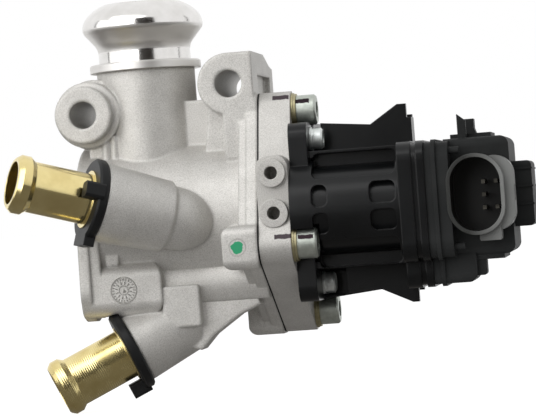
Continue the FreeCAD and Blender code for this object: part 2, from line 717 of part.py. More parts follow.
def valve_housing():
    forms = [rod(TOWER_R, V(NOZZLE_X, 0, 0), TOWER_TOP_Z, Z_AXIS)]
    forms += inlet_flange() + joint_flange() + left_engine_boss() + right_engine_boss()
    forms += pipe_bosses() + thread_bosses() + small_cast_forms()
    shape = x_rod(BODY_R, 0, JOINT_X).multiFuse(forms).removeSplitter()
    return shape.cut(housing_bores())


def outlet_nozzle():
    """Turned nozzle with a hose bulb, pressed into the tower."""
    tube_top = NOZZLE_TUBE_TOP_Z - TOWER_TOP_Z
    bulb = NOZZLE_BULB_Z - TOWER_TOP_Z
    rise = bulb - tube_top
    step = NOZZLE_BULB_R - NOZZLE_TUBE_R
    lip = bulb + NOZZLE_DOME_H * math.sqrt(1 - (NOZZLE_LIP_R / NOZZLE_BULB_R) ** 2)
    cone_start = V(NOZZLE_TUBE_R + 0.3 * step, 0, tube_top + 0.4 * rise)
    cone_end = V(NOZZLE_TUBE_R + 0.85 * step, 0, tube_top + 0.77 * rise)
    root = Part.Arc(V(NOZZLE_TUBE_R, 0, tube_top), V(NOZZLE_TUBE_R + 0.08 * step, 0, tube_top + 0.21 * rise),
                    cone_start)
    brim = Part.Arc(cone_end, V(NOZZLE_TUBE_R + 0.97 * step, 0, tube_top + 0.88 * rise),
                    V(NOZZLE_BULB_R, 0, bulb))
    edges = chain([(lip, NOZZLE_LIP_R), (lip - 0.4, NOZZLE_BORE_R), (-NOZZLE_SHANK_L, NOZZLE_BORE_R),
                   (-NOZZLE_SHANK_L, NOZZLE_SHANK_R), (0, NOZZLE_SHANK_R), (0, NOZZLE_COLLAR_R),
                   (NOZZLE_COLLAR_T - 0.4, NOZZLE_COLLAR_R), (NOZZLE_COLLAR_T, NOZZLE_COLLAR_R - 0.4),
                   (NOZZLE_COLLAR_T, NOZZLE_TUBE_R), (tube_top, NOZZLE_TUBE_R)])
    edges += [root.toShape(), Part.makeLine(cone_start, cone_end), brim.toShape(),
              dome_edge(bulb, NOZZLE_DOME_H, NOZZLE_BULB_R, NOZZLE_LIP_R)]
    return spun(edges, V(NOZZLE_X, 0, TOWER_TOP_Z), Z_AXIS)


# Gas valve

def valve_seat_ring():
    ring = x_rod(SEAT_RING_R, SEAT_RING_X, CHAMBER_X)
    hole = x_rod(SEAT_HOLE_R, SEAT_RING_X, CHAMBER_X)
    cone = Part.makeCone(SEAT_HOLE_R, SEAT_HOLE_R + SEAT_CHAMFER, SEAT_CHAMFER,
                         V(CHAMBER_X - SEAT_CHAMFER, 0, 0), X_AXIS)
    return ring.cut([hole, cone])


def valve_poppet():
    """Poppet with a 45 degree seat face, open to the chamber side, bored for the stem."""
    face_x = CHAMBER_X + POPPET_SEAT_GAP
    profile = [(face_x - 2.1, STEM_R), (face_x - 2.1, POPPET_R - 2.4), (face_x - 1.7, POPPET_R - 1.7),
               (face_x, POPPET_R), (face_x + 2, POPPET_R), (face_x + 2.5, POPPET_R - 0.6),
               (face_x + 3.4, STEM_R + 4), (face_x + 5.2, STEM_R + 1.6), (face_x + 7.5, STEM_R + 0.8),
               (face_x + 7.5, STEM_R)]
    return turned(profile, V(0, 0, 0), X_AXIS)


def valve_stem():
    start_x = CHAMBER_X - 2.4
    stem = x_rod(STEM_R, start_x + 0.5, STEM_END_X - 0.5)
    ends = [Part.makeCone(STEM_R - 0.5, STEM_R, 0.5, V(start_x, 0, 0), X_AXIS),
            Part.makeCone(STEM_R, STEM_R - 0.5, 0.5, V(STEM_END_X - 0.5, 0, 0), X_AXIS)]
    pin_hole = rod(CROSS_PIN_R, V(CROSS_PIN_X, 0, -STEM_R - 1), 2 * STEM_R + 2, Z_AXIS)
    return joined(stem, *ends).cut(pin_hole)


def stem_guide():
    return x_rod(GUIDE_R, GUIDE_START_X, GUIDE_END_X).cut(
        x_rod(STEM_R + RUNNING_FIT, GUIDE_START_X, GUIDE_END_X))


def stem_seal():
    """Lip seal in its pocket on the actuator side of the carrier."""
    start_x = ACT_X - SEAL_T
    profile = [(0, GUIDE_R - 0.5), (0, SEAL_R), (SEAL_T, SEAL_R), (SEAL_T, SEAL_R - 1.6), (1.4, SEAL_R - 2.2),
               (SEAL_T - 0.6, STEM_R + 1.0), (2.6, STEM_R + SLIDE_GAP), (0.9, GUIDE_R - 0.8)]
    return turned(profile, V(start_x, 0, 0), X_AXIS)


def return_spring():
    """Square-wire compression spring between the retainer and its seat."""
    length = SPRING_END_X - SPRING_START_X
    half = SPRING_WIRE / 2
    mean_r = SPRING_R - half
    rise = length - SPRING_WIRE
    helix = Part.makeHelix(rise / SPRING_TURNS, rise, mean_r)
    section = Part.makePolygon([V(mean_r - half, 0, -half), V(mean_r + half, 0, -half), V(mean_r + half, 0, half),
                                V(mean_r - half, 0, half), V(mean_r - half, 0, -half)])
    spring = Part.Wire(helix.Edges).makePipeShell([section], True, True)
    spring.Placement = FreeCAD.Placement(V(SPRING_START_X + half, 0, 0), FreeCAD.Rotation(V(0, 1, 0), 90))
    return spring


def spring_retainer():
    profile = [(0, STEM_R), (0, RETAINER_R), (RETAINER_T, RETAINER_R), (RETAINER_T, STEM_R)]
    lip = [(RETAINER_T, STEM_R), (RETAINER_T, STEM_R + 1.2), (RETAINER_T + 1.5, STEM_R + 1.2),
           (RETAINER_T + 1.5, STEM_R)]
    return joined(turned(profile, V(RETAINER_X, 0, 0), X_AXIS), turned(lip, V(RETAINER_X, 0, 0), X_AXIS))


def spring_seat():
    return x_rod(SPRING_BORE_R, SPRING_END_X, WEB_X).cut(x_rod(STEM_R + FREE_GAP, SPRING_END_X, WEB_X))


# Carrier and its fasteners

def carrier_gasket():
    sheet = carrier_outline(JOINT_X, CARRIER_X)
    holes = [x_rod(CHAMBER_R, JOINT_X, CARRIER_X)]
    for angle in CARRIER_BOLT_ANGLES:
        y, z = on_circle(CARRIER_BOLT_R, angle)
        holes.append(x_rod(M6_CLEARANCE_R, JOINT_X, CARRIER_X, y, z))
    return sheet.cut(holes)


def actuator_carrier():
    """Machined plate with a spigot in the gas chamber, the stem guide bore and two front bosses."""
    plate = carrier_outline(CARRIER_X, ACT_X)
    pad_reach = FRONT_BOSS_R + 1
    pad = y_slab(CARRIER_X, ACT_X, FRONT_PAD_Y, FRONT_PAD_Y / 2, FRONT_BOSS_Z[0] - pad_reach,
                 FRONT_BOSS_Z[1] + pad_reach, FRONT_PAD_ROUND)
    spigot = x_rod(CHAMBER_R, JOINT_X - SPIGOT_L, CARRIER_X)
    boss_x = (CARRIER_X + ACT_X) / 2
    boss_y = FRONT_PAD_Y - FRONT_BOSS_H
    bosses = [rod(FRONT_BOSS_R, V(boss_x, boss_y, z), FRONT_BOSS_H + FRONT_BOSS_R, Y_AXIS) for z in FRONT_BOSS_Z]
    shape = joined(plate, pad, spigot, *bosses)
    tools = [x_rod(GUIDE_R, JOINT_X - SPIGOT_L - 1, ACT_X - SEAL_T), x_rod(SEAL_R, ACT_X - SEAL_T, ACT_X + 1)]
    for z in FRONT_BOSS_Z:
        tools.append(rod(FRONT_BOSS_HOLE_R, V(boss_x, boss_y - 1, z), FRONT_BOSS_DEPTH + 1, Y_AXIS))
    for angle in CARRIER_BOLT_ANGLES:
        y, z = on_circle(CARRIER_BOLT_R, angle)
        tools.append(x_rod(M6_CLEARANCE_R, CARRIER_X - 1, ACT_X + 1, y, z))
    for y, z in SCREW_PLACES:
        tools.append(x_rod(M4_R, CARRIER_X + 1.5, ACT_X + 1, y, z))
    return shape.cut(tools)


def carrier_bolts():
    bolts = []
    seat_x = ACT_X + 2 * WASHER_T
    for angle in CARRIER_BOLT_ANGLES:
        y, z = on_circle(CARRIER_BOLT_R, angle)
        head = x_rod(M6_HEAD_R, seat_x, seat_x + M6_HEAD_H, y, z)
        rim = [edge for edge in head.Edges if edge.CenterOfMass.x > seat_x + M6_HEAD_H - 0.1]
        head = head.makeChamfer(HEAD_CHAMFER, rim)
        shank = x_rod(M6_R, JOINT_X - M6_GRIP_IN_HOUSING, seat_x, y, z)
        socket = hex_prism(M6_SOCKET_AF, seat_x + M6_HEAD_H / 2, seat_x + M6_HEAD_H + 1, y, z)
        bolts.append(joined(head, shank).cut(socket))
    return Part.makeCompound(bolts)


def carrier_bolt_washers():
    washers = []
    for angle in CARRIER_BOLT_ANGLES:
        y, z = on_circle(CARRIER_BOLT_R, angle)
        for index, radius in enumerate((WASHER_R, WASHER_R - 0.3)):
            x0 = ACT_X + index * WASHER_T
            washers.append(x_rod(radius, x0, x0 + WASHER_T, y, z).cut(x_rod(M6_R, x0, x0 + WASHER_T, y, z)))
    return Part.makeCompound(washers)


def actuator_screws():
    """Socket-head screws that hold the actuator to the carrier."""
    screws = []
    seat_x = ACT_FLANGE_END_X + 2 * M4_WASHER_T
    for y, z in SCREW_PLACES:
        head = x_rod(M4_HEAD_R, seat_x, seat_x + M4_HEAD_H, y, z)
        rim = [edge for edge in head.Edges if edge.CenterOfMass.x > seat_x + M4_HEAD_H - 0.1]
        head = head.makeChamfer(HEAD_CHAMFER, rim)
        shank = x_rod(M4_R, CARRIER_X + 1.5, seat_x, y, z)
        socket = hex_prism(M4_SOCKET_AF, seat_x + M4_HEAD_H / 2, seat_x + M4_HEAD_H + 1, y, z)
        screws.append(joined(head, shank).cut(socket))
    return Part.makeCompound(screws)


def actuator_screw_washers():
    """A flat washer and a narrower spring washer under each screw head."""
    washers = []
    for y, z in SCREW_PLACES:
        for index, radius in enumerate((M4_WASHER_R, M4_HEAD_R)):
            x0 = ACT_FLANGE_END_X + index * M4_WASHER_T
            washers.append(x_rod(radius, x0, x0 + M4_WASHER_T, y, z).cut(x_rod(M4_R, x0, x0 + M4_WASHER_T, y, z)))
    return Part.makeCompound(washers)


def actuator_seal():
    """Flat rubber ring in a groove of the actuator flange."""
    outer = SEAL_R + 3.5
    return x_rod(outer, ACT_X, ACT_X + 2).cut(x_rod(outer - 2, ACT_X, ACT_X + 2))


# Actuator housing

def barrel_pockets():
    """Rounded pockets on the front of the barrel, between its ribs and on both sides of its smooth band."""
    left_x = ACT_FLANGE_END_X + BARREL_POCKET_WALL
    right_x = END_WALL_X - BARREL_POCKET_WALL
    front_y = MOTOR_Y - BARREL_R - 1
    half = BARREL_RIB_T / 2
    rows = [(left_x, right_x, -BARREL_R - 2, BARREL_RIB_Z[0] - half),
            (left_x, right_x, BARREL_RIB_Z[-1] + half, BARREL_R + 2)]
    for below, above in zip(BARREL_RIB_Z, BARREL_RIB_Z[1:]):
        rows.append((left_x, BARREL_BAND_X[0], below + half, above - half))
        rows.append((BARREL_BAND_X[1], right_x, below + half, above - half))
    shell = x_rod(BARREL_R + 3, left_x, right_x, MOTOR_Y, 0).cut(
        x_rod(BARREL_POCKET_R, left_x, right_x, MOTOR_Y, 0))
    return [y_slab(x0, x1, front_y, MOTOR_Y, z0, z1, BARREL_POCKET_ROUND).common(shell)
            for x0, x1, z0, z1 in rows]


def fins():
    """Stiffening fins over and under the barrel, with the rear pair lower than the front pair."""
    plates = []
    start_x = ACT_FLANGE_END_X - 1
    for index, y in enumerate(FIN_Y):
        drop = index * FIN_REAR_DROP
        for side, (peak_x, peak_z), foot_z in ((1, FIN_TOP_PEAK, LEDGE_TOP_Z - 2),
                                               (-1, FIN_BOTTOM_PEAK, LEDGE_BOTTOM_Z + 2)):
            corners = [(start_x, side * (ACT_FLANGE_HALF_Z - drop)), (FIN_KNEE[0], side * (FIN_KNEE[1] - drop)),
                       (peak_x, side * (peak_z - drop)), (FIN_END_X, side * (peak_z - drop)),
                       (FIN_END_X, foot_z), (start_x, foot_z)]
            plates.append(y_prism(corners, y, y + FIN_T))
    return plates


def gear_outline(x0, x1, inset=0.0):
    """The outer form of the gear box, with the bulge below for the idler gear."""
    main = x_slab(x0, x1, GEAR_FRONT_Y + inset, GEAR_BACK_Y - inset, GEAR_BOTTOM_Z + inset, GEAR_TOP_Z - inset,
                  GEAR_CORNER_R)
    bulge = x_slab(x0, x1, BULGE_FRONT_Y + inset, BULGE_BACK_Y - inset, BULGE_BOTTOM_Z + inset, 0, 5.0)
    return main.fuse(bulge).removeSplitter()


def gear_space(x0, x1):
    """Room for the three gears."""
    output_tip = COARSE_MODULE * (OUTPUT_TEETH / 2 + 0.9) + FREE_GAP
    idler_tip = FINE_MODULE * (IDLER_LARGE_TEETH / 2 + 0.9) + FREE_GAP
    pinion_end_x = IDLER_LARGE_X + IDLER_LARGE_T + 2
    return [x_rod(output_tip, x0, x1), x_rod(idler_tip, x0, x1, IDLER_Y, IDLER_Z),
            x_rod(CAN_R + SLIDE_GAP, x0, pinion_end_x, MOTOR_Y, 0)]


def actuator_shell():
    """The outside of the actuator housing before anything is cut out of it."""
    flange = x_slab(ACT_X, ACT_FLANGE_END_X, ACT_FLANGE_FRONT_Y, ACT_BACK_Y + 5, -ACT_FLANGE_HALF_Z,
                    ACT_FLANGE_HALF_Z, 5)
    barrel = x_rod(BARREL_R, ACT_X, RIM_X, MOTOR_Y, 0)
    back_y = ACT_BACK_Y - 3
    core = block(ACT_X, RIM_X, MOTOR_Y, back_y, LEDGE_BOTTOM_Z + 1.6, LEDGE_TOP_Z - 1.6)
    ledge_y = MOTOR_Y - 5
    ledges = [block(ACT_X, RIM_X, ledge_y, back_y, LEDGE_TOP_Z - LEDGE_T, LEDGE_TOP_Z),
              block(ACT_X, RIM_X, ledge_y, back_y, LEDGE_BOTTOM_Z, LEDGE_BOTTOM_Z + LEDGE_T)]
    tab = block(END_WALL_X - 1, RIM_X - 1, END_TAB_Y[0], END_TAB_Y[1], LEDGE_TOP_Z - LEDGE_T, END_TAB_TOP_Z)
    rims = [gear_outline(END_WALL_X, RIM_X, -GEAR_LIP), gear_outline(RIM_X, COVER_X),
            gear_outline(COVER_X - RIM_LIP_T, COVER_X, -GEAR_LIP)]
    return flange.multiFuse([barrel, core, tab] + ledges + rims + fins()).removeSplitter()


def actuator_housing():
    seal_outer = SEAL_R + 3.5
    groove = x_rod(seal_outer, ACT_X, ACT_X + 2).cut(x_rod(seal_outer - 2, ACT_X, ACT_X + 2))
    tools = [groove, x_rod(SPRING_BORE_R, ACT_X - 1, WEB_X), x_rod(STEM_R + SLIDE_GAP, WEB_X - 1, HUB_START_X),
             x_rod(HUB_R + SLIDE_GAP, HUB_START_X - SLIDE_GAP, RIM_X + 1),
             x_rod(CAN_R, CAN_START_X, MOTOR_CAP_X + MOTOR_CAP_T, MOTOR_Y, 0),
             x_rod(CAN_R - 1, CAN_START_X - 1, RIM_X + 1, MOTOR_Y, 0),
             x_rod(CAN_R + SLIDE_GAP, MOTOR_CAP_X + MOTOR_CAP_T, RIM_X + 1, MOTOR_Y, 0),
             block(CROSS_PIN_X - 1.6, RIM_X + 1, -PIN_GROOVE_HALF_W, PIN_GROOVE_HALF_W,
                   -CROSS_PIN_HALF_L - 0.3, CROSS_PIN_HALF_L + 0.3),
             x_rod(IDLER_PIN_R, RIM_X - 3.5, RIM_X + 1, IDLER_Y, IDLER_Z)]
    tools += barrel_pockets() + gear_space(RIM_X, COVER_X + 1)
    for angle in CARRIER_BOLT_ANGLES:
        y, z = on_circle(CARRIER_BOLT_R, angle)
        tools.append(x_rod(WASHER_R + SCALLOP_GAP, ACT_X - 1, ACT_X + SCALLOP_L, y, z))
    for y, z in SCREW_PLACES:
        tools.append(x_rod(M4_R + 0.3, ACT_X - 1, ACT_FLANGE_END_X, y, z))
        tools.append(x_rod(M4_WASHER_R + FREE_GAP, ACT_FLANGE_END_X, ACT_FLANGE_END_X + M4_POCKET_L, y, z))
    return actuator_shell().cut(tools)


def cover_shell():
    """The outside of the gear cover: the lid, the sensor box and what stands on them."""
    lip_x = COVER_X + COVER_GROOVE
    box = end_rounded(SENSOR_BOX_END_X, COVER_END_X - 2, SENSOR_FRONT_Y, SENSOR_BACK_Y, SENSOR_BOTTOM_Z,
                      SENSOR_TOP_Z, SENSOR_ROUND)
    lug_x = COVER_END_X + LUG_T
    lug_foot = SENSOR_TOP_Z - SENSOR_ROUND
    lug = y_prism([(lug_x, lug_foot), (lug_x + LUG_T, lug_foot), (lug_x + LUG_T, LUG_TOP_Z - 2.2),
                   (lug_x, LUG_TOP_Z)], -26, -22)
    stop = y_prism([(lug_x, lug_foot), (lug_x + 2.5 * LUG_T, lug_foot), (lug_x + 1.7 * LUG_T, LUG_TOP_Z - 4.5),
                    (lug_x + 1.7 * LUG_T, LUG_TOP_Z - 1.5), (lug_x, LUG_TOP_Z - 1.5)], -14, -6)
    strips = [block(COVER_END_X, CONNECTOR_X + 5, -22, 2, SENSOR_TOP_Z - 1, SENSOR_TOP_Z + SENSOR_STRIP_T),
              block(COVER_END_X, CONNECTOR_X + 7, -28, 6, SENSOR_BOTTOM_Z - SENSOR_STRIP_T, SENSOR_BOTTOM_Z + 1)]
    foot = end_rounded(COVER_X + FOOT_L, COVER_X, BULGE_FRONT_Y, BULGE_BACK_Y - 8, BULGE_BOTTOM_Z,
                       GEAR_BOTTOM_Z + 3, SENSOR_ROUND)
    cleat = y_slab(COVER_X + FOOT_L - 1, COVER_X + FOOT_L + 3, BULGE_FRONT_Y + 2, BULGE_FRONT_Y + 9,
                   BULGE_BOTTOM_Z + 2, GEAR_BOTTOM_Z + 1, 1)
    pegs = [x_rod(PEG_R, COVER_END_X - 1, COVER_END_X + PEG_L, y, z) for y, z in PEG_PLACES]
    lid = gear_outline(COVER_X, COVER_END_X).fuse(gear_outline(lip_x, lip_x + COVER_LIP_T, -GEAR_LIP))
    return lid.multiFuse([box, lug, stop, foot, cleat] + strips + pegs).removeSplitter()


def gear_cover():
    """Cover of the gear box with the sensor chamber and the mounting lug on top."""
    inner_end = COVER_END_X - COVER_WALL
    cavity = SENSOR_CAVITY_HALF
    tools = gear_space(COVER_X - 1, inner_end)
    tools.append(x_rod(9.5, inner_end - 1, SENSOR_CAVITY_START_X - 0.6))
    tools.append(block(SENSOR_CAVITY_START_X, SENSOR_BOX_END_X + 1, -cavity, cavity, -cavity, cavity))
    post = x_rod(GEAR_PIN_R + 1.6, inner_end + 0.4, SENSOR_CAVITY_START_X)
    shape = cover_shell().cut(tools).fuse(post)
    pockets = [x_rod(GEAR_PIN_R, inner_end - 1, SENSOR_CAVITY_START_X - 0.8),
               x_rod(IDLER_PIN_R, inner_end - 1, inner_end + 1.0, IDLER_Y, IDLER_Z),
               connector_tube()]
    return shape.cut(pockets).removeSplitter()


def connector_tube():
    """The oval tube of the connector as a full solid, from its mouth to its root in the cover."""
    return y_slab(CONNECTOR_X - CONNECTOR_REACH, CONNECTOR_X + CONNECTOR_REACH, CONNECTOR_MOUTH_Y,
                  CONNECTOR_FLOOR_Y + CONNECTOR_BACK, CONNECTOR_Z - CONNECTOR_RISE, CONNECTOR_Z + CONNECTOR_RISE,
                  CONNECTOR_REACH)


def connector_shroud():
    """Oval plug shroud, thicker on one side behind its mouth, with a latch under it."""
    side_x = CONNECTOR_X + CONNECTOR_REACH + CONNECTOR_SIDE
    low_z = CONNECTOR_Z - CONNECTOR_RISE
    body_y = CONNECTOR_MOUTH_Y + CONNECTOR_LIP_L
    body = y_slab(CONNECTOR_X, side_x, body_y, SENSOR_FRONT_Y, low_z + 1, CONNECTOR_Z + CONNECTOR_RISE - 1,
                  CONNECTOR_REACH)
    latch = y_slab(CONNECTOR_X + 0.3, CONNECTOR_X + CONNECTOR_HALF_W - 0.7, body_y - 1, SENSOR_FRONT_Y,
                   low_z - CONNECTOR_LATCH_DROP, low_z + 5, 0.6)
    mouth = y_slab(CONNECTOR_X - CONNECTOR_HALF_W, CONNECTOR_X + CONNECTOR_HALF_W, CONNECTOR_MOUTH_Y - 1,
                   CONNECTOR_FLOOR_Y, CONNECTOR_Z - CONNECTOR_HALF_H, CONNECTOR_Z + CONNECTOR_HALF_H,
                   CONNECTOR_HALF_W)
    notch = block(side_x - 0.8, side_x + 1, body_y + 2, body_y + 7, -1, 4)
    half = PIN_SIZE / 2
    slots = [block(x - half, x + half, CONNECTOR_FLOOR_Y - 1, CONNECTOR_FLOOR_Y + CONNECTOR_BACK + 1,
                   z - half, z + half) for x, z in PIN_PLACES]
    return joined(connector_tube(), body, latch).cut([mouth, notch] + slots)


def connector_pins():
    half = PIN_SIZE / 2
    back_y = CONNECTOR_FLOOR_Y + CONNECTOR_BACK
    return Part.makeCompound([block(x - half, x + half, PIN_TIP_Y, back_y, z - half, z + half)
                              for x, z in PIN_PLACES])


def sensor_board():
    cavity = SENSOR_CAVITY_HALF
    board = block(BOARD_X, BOARD_X + BOARD_T, -cavity, cavity, -cavity, cavity)
    chip = block(SENSOR_CAVITY_START_X + 0.1, BOARD_X, -2.5, 2.5, -2.5, 2.5)
    return joined(board, chip)


def sensor_cap():
    """End block that closes the sensor chamber, with fine ribs round its front."""
    cavity = SENSOR_CAVITY_HALF
    end_x = SENSOR_BOX_END_X + CAP_L
    plug = block(SENSOR_BOX_END_X - CAP_PLUG_L, SENSOR_BOX_END_X, -cavity, cavity, -cavity, cavity)
    outer = end_rounded(end_x, SENSOR_BOX_END_X, CAP_FRONT_Y, CAP_BACK_Y, CAP_Z[0], CAP_Z[1], 1.5)
    ribs = []
    for index in range(CAP_RIBS):
        z = CAP_Z[1] - CAP_RIB_PITCH * (index + 0.45)
        ribs.append(block(SENSOR_BOX_END_X, end_x + CAP_RIB_T / 2, CAP_FRONT_Y - CAP_RIB_T, CAP_BACK_Y,
                          z - CAP_RIB_T / 2, z + CAP_RIB_T / 2))
    return joined(plug, outer, *ribs)


# Gears

def involute(angle):
    return math.tan(angle) - angle


def gear_blank(module, teeth, x0, x1, turn_deg, y=0.0, z=0.0):
    """A spur gear about an axis along X. At turn_deg a tooth points from +Y towards +Z."""
    pressure = math.radians(PRESSURE_ANGLE)
    pitch_r = module * teeth / 2
    base_r = pitch_r * math.cos(pressure)
    tip_r = pitch_r + 0.9 * module
    root_r = pitch_r - 1.15 * module
    half_at_pitch = (math.pi * module / 2 - BACKLASH / 2) / (2 * pitch_r)
    radii = [root_r]
    start_r = max(base_r, root_r + 0.05)
    radii += [start_r + (tip_r - start_r) * part for part in (0, 0.35, 0.7, 1)]
    corners = []
    for tooth in range(teeth):
        centre = math.radians(turn_deg) + 2 * math.pi * tooth / teeth
        sides = []
        for radius in radii:
            roll = math.acos(min(1, base_r / radius)) if radius > base_r else 0
            sides.append((radius, half_at_pitch + involute(pressure) - involute(roll)))
        for radius, half in sides:
            corners.append((radius, centre - half))
        for radius, half in reversed(sides):
            corners.append((radius, centre + half))
    points = [V(x0, y + radius * math.cos(angle), z + radius * math.sin(angle)) for radius, angle in corners]
    return Part.Face(Part.makePolygon(points + [points[0]])).extrude(V(x1 - x0, 0, 0))


def facing_deg(from_place, to_place):
    return math.degrees(math.atan2(to_place[1] - from_place[1], to_place[0] - from_place[0]))


def cam_slot(start_deg):
    """The helical slot of the barrel cam, as a swept radial bar."""
    lead = VALVE_LIFT * 360 / OUTPUT_TRAVEL_DEG
    sweep_deg = OUTPUT_TRAVEL_DEG + 2 * CAM_SLOT_MARGIN_DEG
    height = lead * sweep_deg / 360
    half = CAM_SLOT_W / 2
    middle_r = (HUB_BORE_R + HUB_R) / 2
    inner = HUB_BORE_R - 0.8
    outer = HUB_R + 0.8
    helix = Part.makeHelix(lead, height, middle_r)
    section = Part.makePolygon([V(inner, 0, -half), V(outer, 0, -half), V(outer, 0, half), V(inner, 0, half),
                                V(inner, 0, -half)])
    bar = Part.Wire(helix.Edges).makePipeShell([section], True, True)
    start_x = CROSS_PIN_X - lead * CAM_SLOT_MARGIN_DEG / 360
    bar.rotate(V(0, 0, 0), Z_AXIS, start_deg - CAM_SLOT_MARGIN_DEG + 90)
    bar.Placement = FreeCAD.Placement(V(start_x, 0, 0), FreeCAD.Rotation(V(0, 1, 0), 90)).multiply(bar.Placement)
    return bar


def output_gear():
    """Output gear with its barrel cam, which drives the cross pin of the stem."""
    gear = gear_blank(COARSE_MODULE, OUTPUT_TEETH, OUTPUT_GEAR_X, OUTPUT_GEAR_X + OUTPUT_GEAR_T,
                      facing_deg((0, 0), (IDLER_Y, IDLER_Z)))
    hub = x_rod(HUB_R, HUB_START_X, IDLER_LARGE_X - FREE_GAP)
    neck = x_rod(HUB_NECK_R, IDLER_LARGE_X - FREE_GAP, OUTPUT_GEAR_X)
    shape = joined(gear, hub, neck)
    tools = [x_rod(HUB_BORE_R, HUB_START_X - 1, OUTPUT_GEAR_X),
             x_rod(GEAR_PIN_R + RUNNING_FIT, OUTPUT_GEAR_X - 1, OUTPUT_GEAR_X + OUTPUT_GEAR_T + 1),
             cam_slot(90), cam_slot(270)]
    return shape.cut(tools)


def idler_gear():
    place = (IDLER_Y, IDLER_Z)
    large = gear_blank(FINE_MODULE, IDLER_LARGE_TEETH, IDLER_LARGE_X, IDLER_LARGE_X + IDLER_LARGE_T,
                       facing_deg(place, (MOTOR_Y, 0)), IDLER_Y, IDLER_Z)
    gap_turn = facing_deg(place, (0, 0)) + 180 / IDLER_SMALL_TEETH
    small = gear_blank(COARSE_MODULE, IDLER_SMALL_TEETH, IDLER_LARGE_X + IDLER_LARGE_T,
                       OUTPUT_GEAR_X + OUTPUT_GEAR_T + 0.2, gap_turn, IDLER_Y, IDLER_Z)
    bore = x_rod(IDLER_PIN_R + RUNNING_FIT, IDLER_LARGE_X - 1, COVER_END_X, IDLER_Y, IDLER_Z)
    return joined(large, small).cut(bore)


def motor_pinion():
    gap_turn = facing_deg((MOTOR_Y, 0), (IDLER_Y, IDLER_Z)) + 180 / PINION_TEETH
    x1 = IDLER_LARGE_X + IDLER_LARGE_T + 0.3
    return gear_blank(FINE_MODULE, PINION_TEETH, IDLER_LARGE_X - 0.3, x1, gap_turn, MOTOR_Y, 0).cut(
        x_rod(SHAFT_R, IDLER_LARGE_X - 1, x1 + 1, MOTOR_Y, 0))


def output_gear_pin():
    return x_rod(GEAR_PIN_R, GEAR_PIN_START_X, SENSOR_CAVITY_START_X - 0.8)


def idler_pin():
    return x_rod(IDLER_PIN_R, RIM_X - 3.5, COVER_END_X - COVER_WALL + 1.0, IDLER_Y, IDLER_Z)


def sensor_magnet():
    x0 = OUTPUT_GEAR_X + OUTPUT_GEAR_T
    return x_rod(7, x0, x0 + 1.6).cut(x_rod(4.4, x0, x0 + 1.6))


def cross_pin():
    return rod(CROSS_PIN_R, V(CROSS_PIN_X, 0, -CROSS_PIN_HALF_L), 2 * CROSS_PIN_HALF_L, Z_AXIS)


# Motor

def motor_tube(outer_r, inner_r, x0, x1):
    return x_rod(outer_r, x0, x1, MOTOR_Y, 0).cut(x_rod(inner_r, x0, x1, MOTOR_Y, 0))


def motor_can():
    shell = x_rod(CAN_R, CAN_START_X, CAN_END_X, MOTOR_Y, 0).cut(
        x_rod(CAN_R - CAN_WALL, CAN_START_X + CAN_WALL, CAN_END_X, MOTOR_Y, 0))
    cup = x_rod(BUSH_R + CAN_WALL, CAN_START_X, CAN_START_X + CAN_WALL + BUSH_L, MOTOR_Y, 0)
    return joined(shell, cup).cut(x_rod(BUSH_R, CAN_START_X + CAN_WALL, CAN_END_X, MOTOR_Y, 0))


def motor_magnets():
    """Two magnet shells bonded in the can."""
    ring = motor_tube(CAN_R - CAN_WALL, CAN_R - CAN_WALL - MAGNET_T, ARMATURE_START_X, ARMATURE_START_X + ARMATURE_L)
    gap = block(ARMATURE_START_X - 1, ARMATURE_START_X + ARMATURE_L + 1, MOTOR_Y - 3, MOTOR_Y + 3, -CAN_R, CAN_R)
    return ring.cut(gap)


def motor_end_cap():
    cap = motor_tube(CAN_R, SHAFT_R + SLIDE_GAP + 0.2, MOTOR_CAP_X, MOTOR_CAP_X + MOTOR_CAP_T)
    return cap.cut(x_rod(BUSH_R, MOTOR_CAP_X, MOTOR_CAP_X + BUSH_L, MOTOR_Y, 0))


def motor_bushes():
    starts = (CAN_START_X + CAN_WALL, MOTOR_CAP_X)
    return Part.makeCompound([motor_tube(BUSH_R, SHAFT_R + RUNNING_FIT, x, x + BUSH_L) for x in starts])


def motor_brushes():
    """Two carbon brushes that stand on the end cap and meet the commutator."""
    inner = COMMUTATOR_R + SLIDE_GAP
    x0 = MOTOR_CAP_X - BRUSH_L
    half = BRUSH_W / 2
    return Part.makeCompound([block(x0, MOTOR_CAP_X, MOTOR_Y - half, MOTOR_Y + half, inner, inner + 5),
                              block(x0, MOTOR_CAP_X, MOTOR_Y - half, MOTOR_Y + half, -inner - 5, -inner)])


def motor_shaft():
    return x_rod(SHAFT_R, CAN_START_X + CAN_WALL + 0.3, IDLER_LARGE_X + IDLER_LARGE_T + 0.6, MOTOR_Y, 0)


def motor_armature():
    """Slotted iron core on the motor shaft."""
    core = motor_tube(ARMATURE_R - 0.4, SHAFT_R, ARMATURE_START_X, ARMATURE_START_X + ARMATURE_L)
    slots = []
    for index in range(5):
        dy, dz = on_circle(ARMATURE_R, 72 * index)
        slots.append(x_rod(2.2, ARMATURE_START_X - 1, ARMATURE_START_X + ARMATURE_L + 1, MOTOR_Y + dy, dz))
    return core.cut(slots)


def motor_commutator():
    return motor_tube(COMMUTATOR_R, SHAFT_R, COMMUTATOR_X - 1.5, COMMUTATOR_X - 1.5 + COMMUTATOR_L + 1.2)


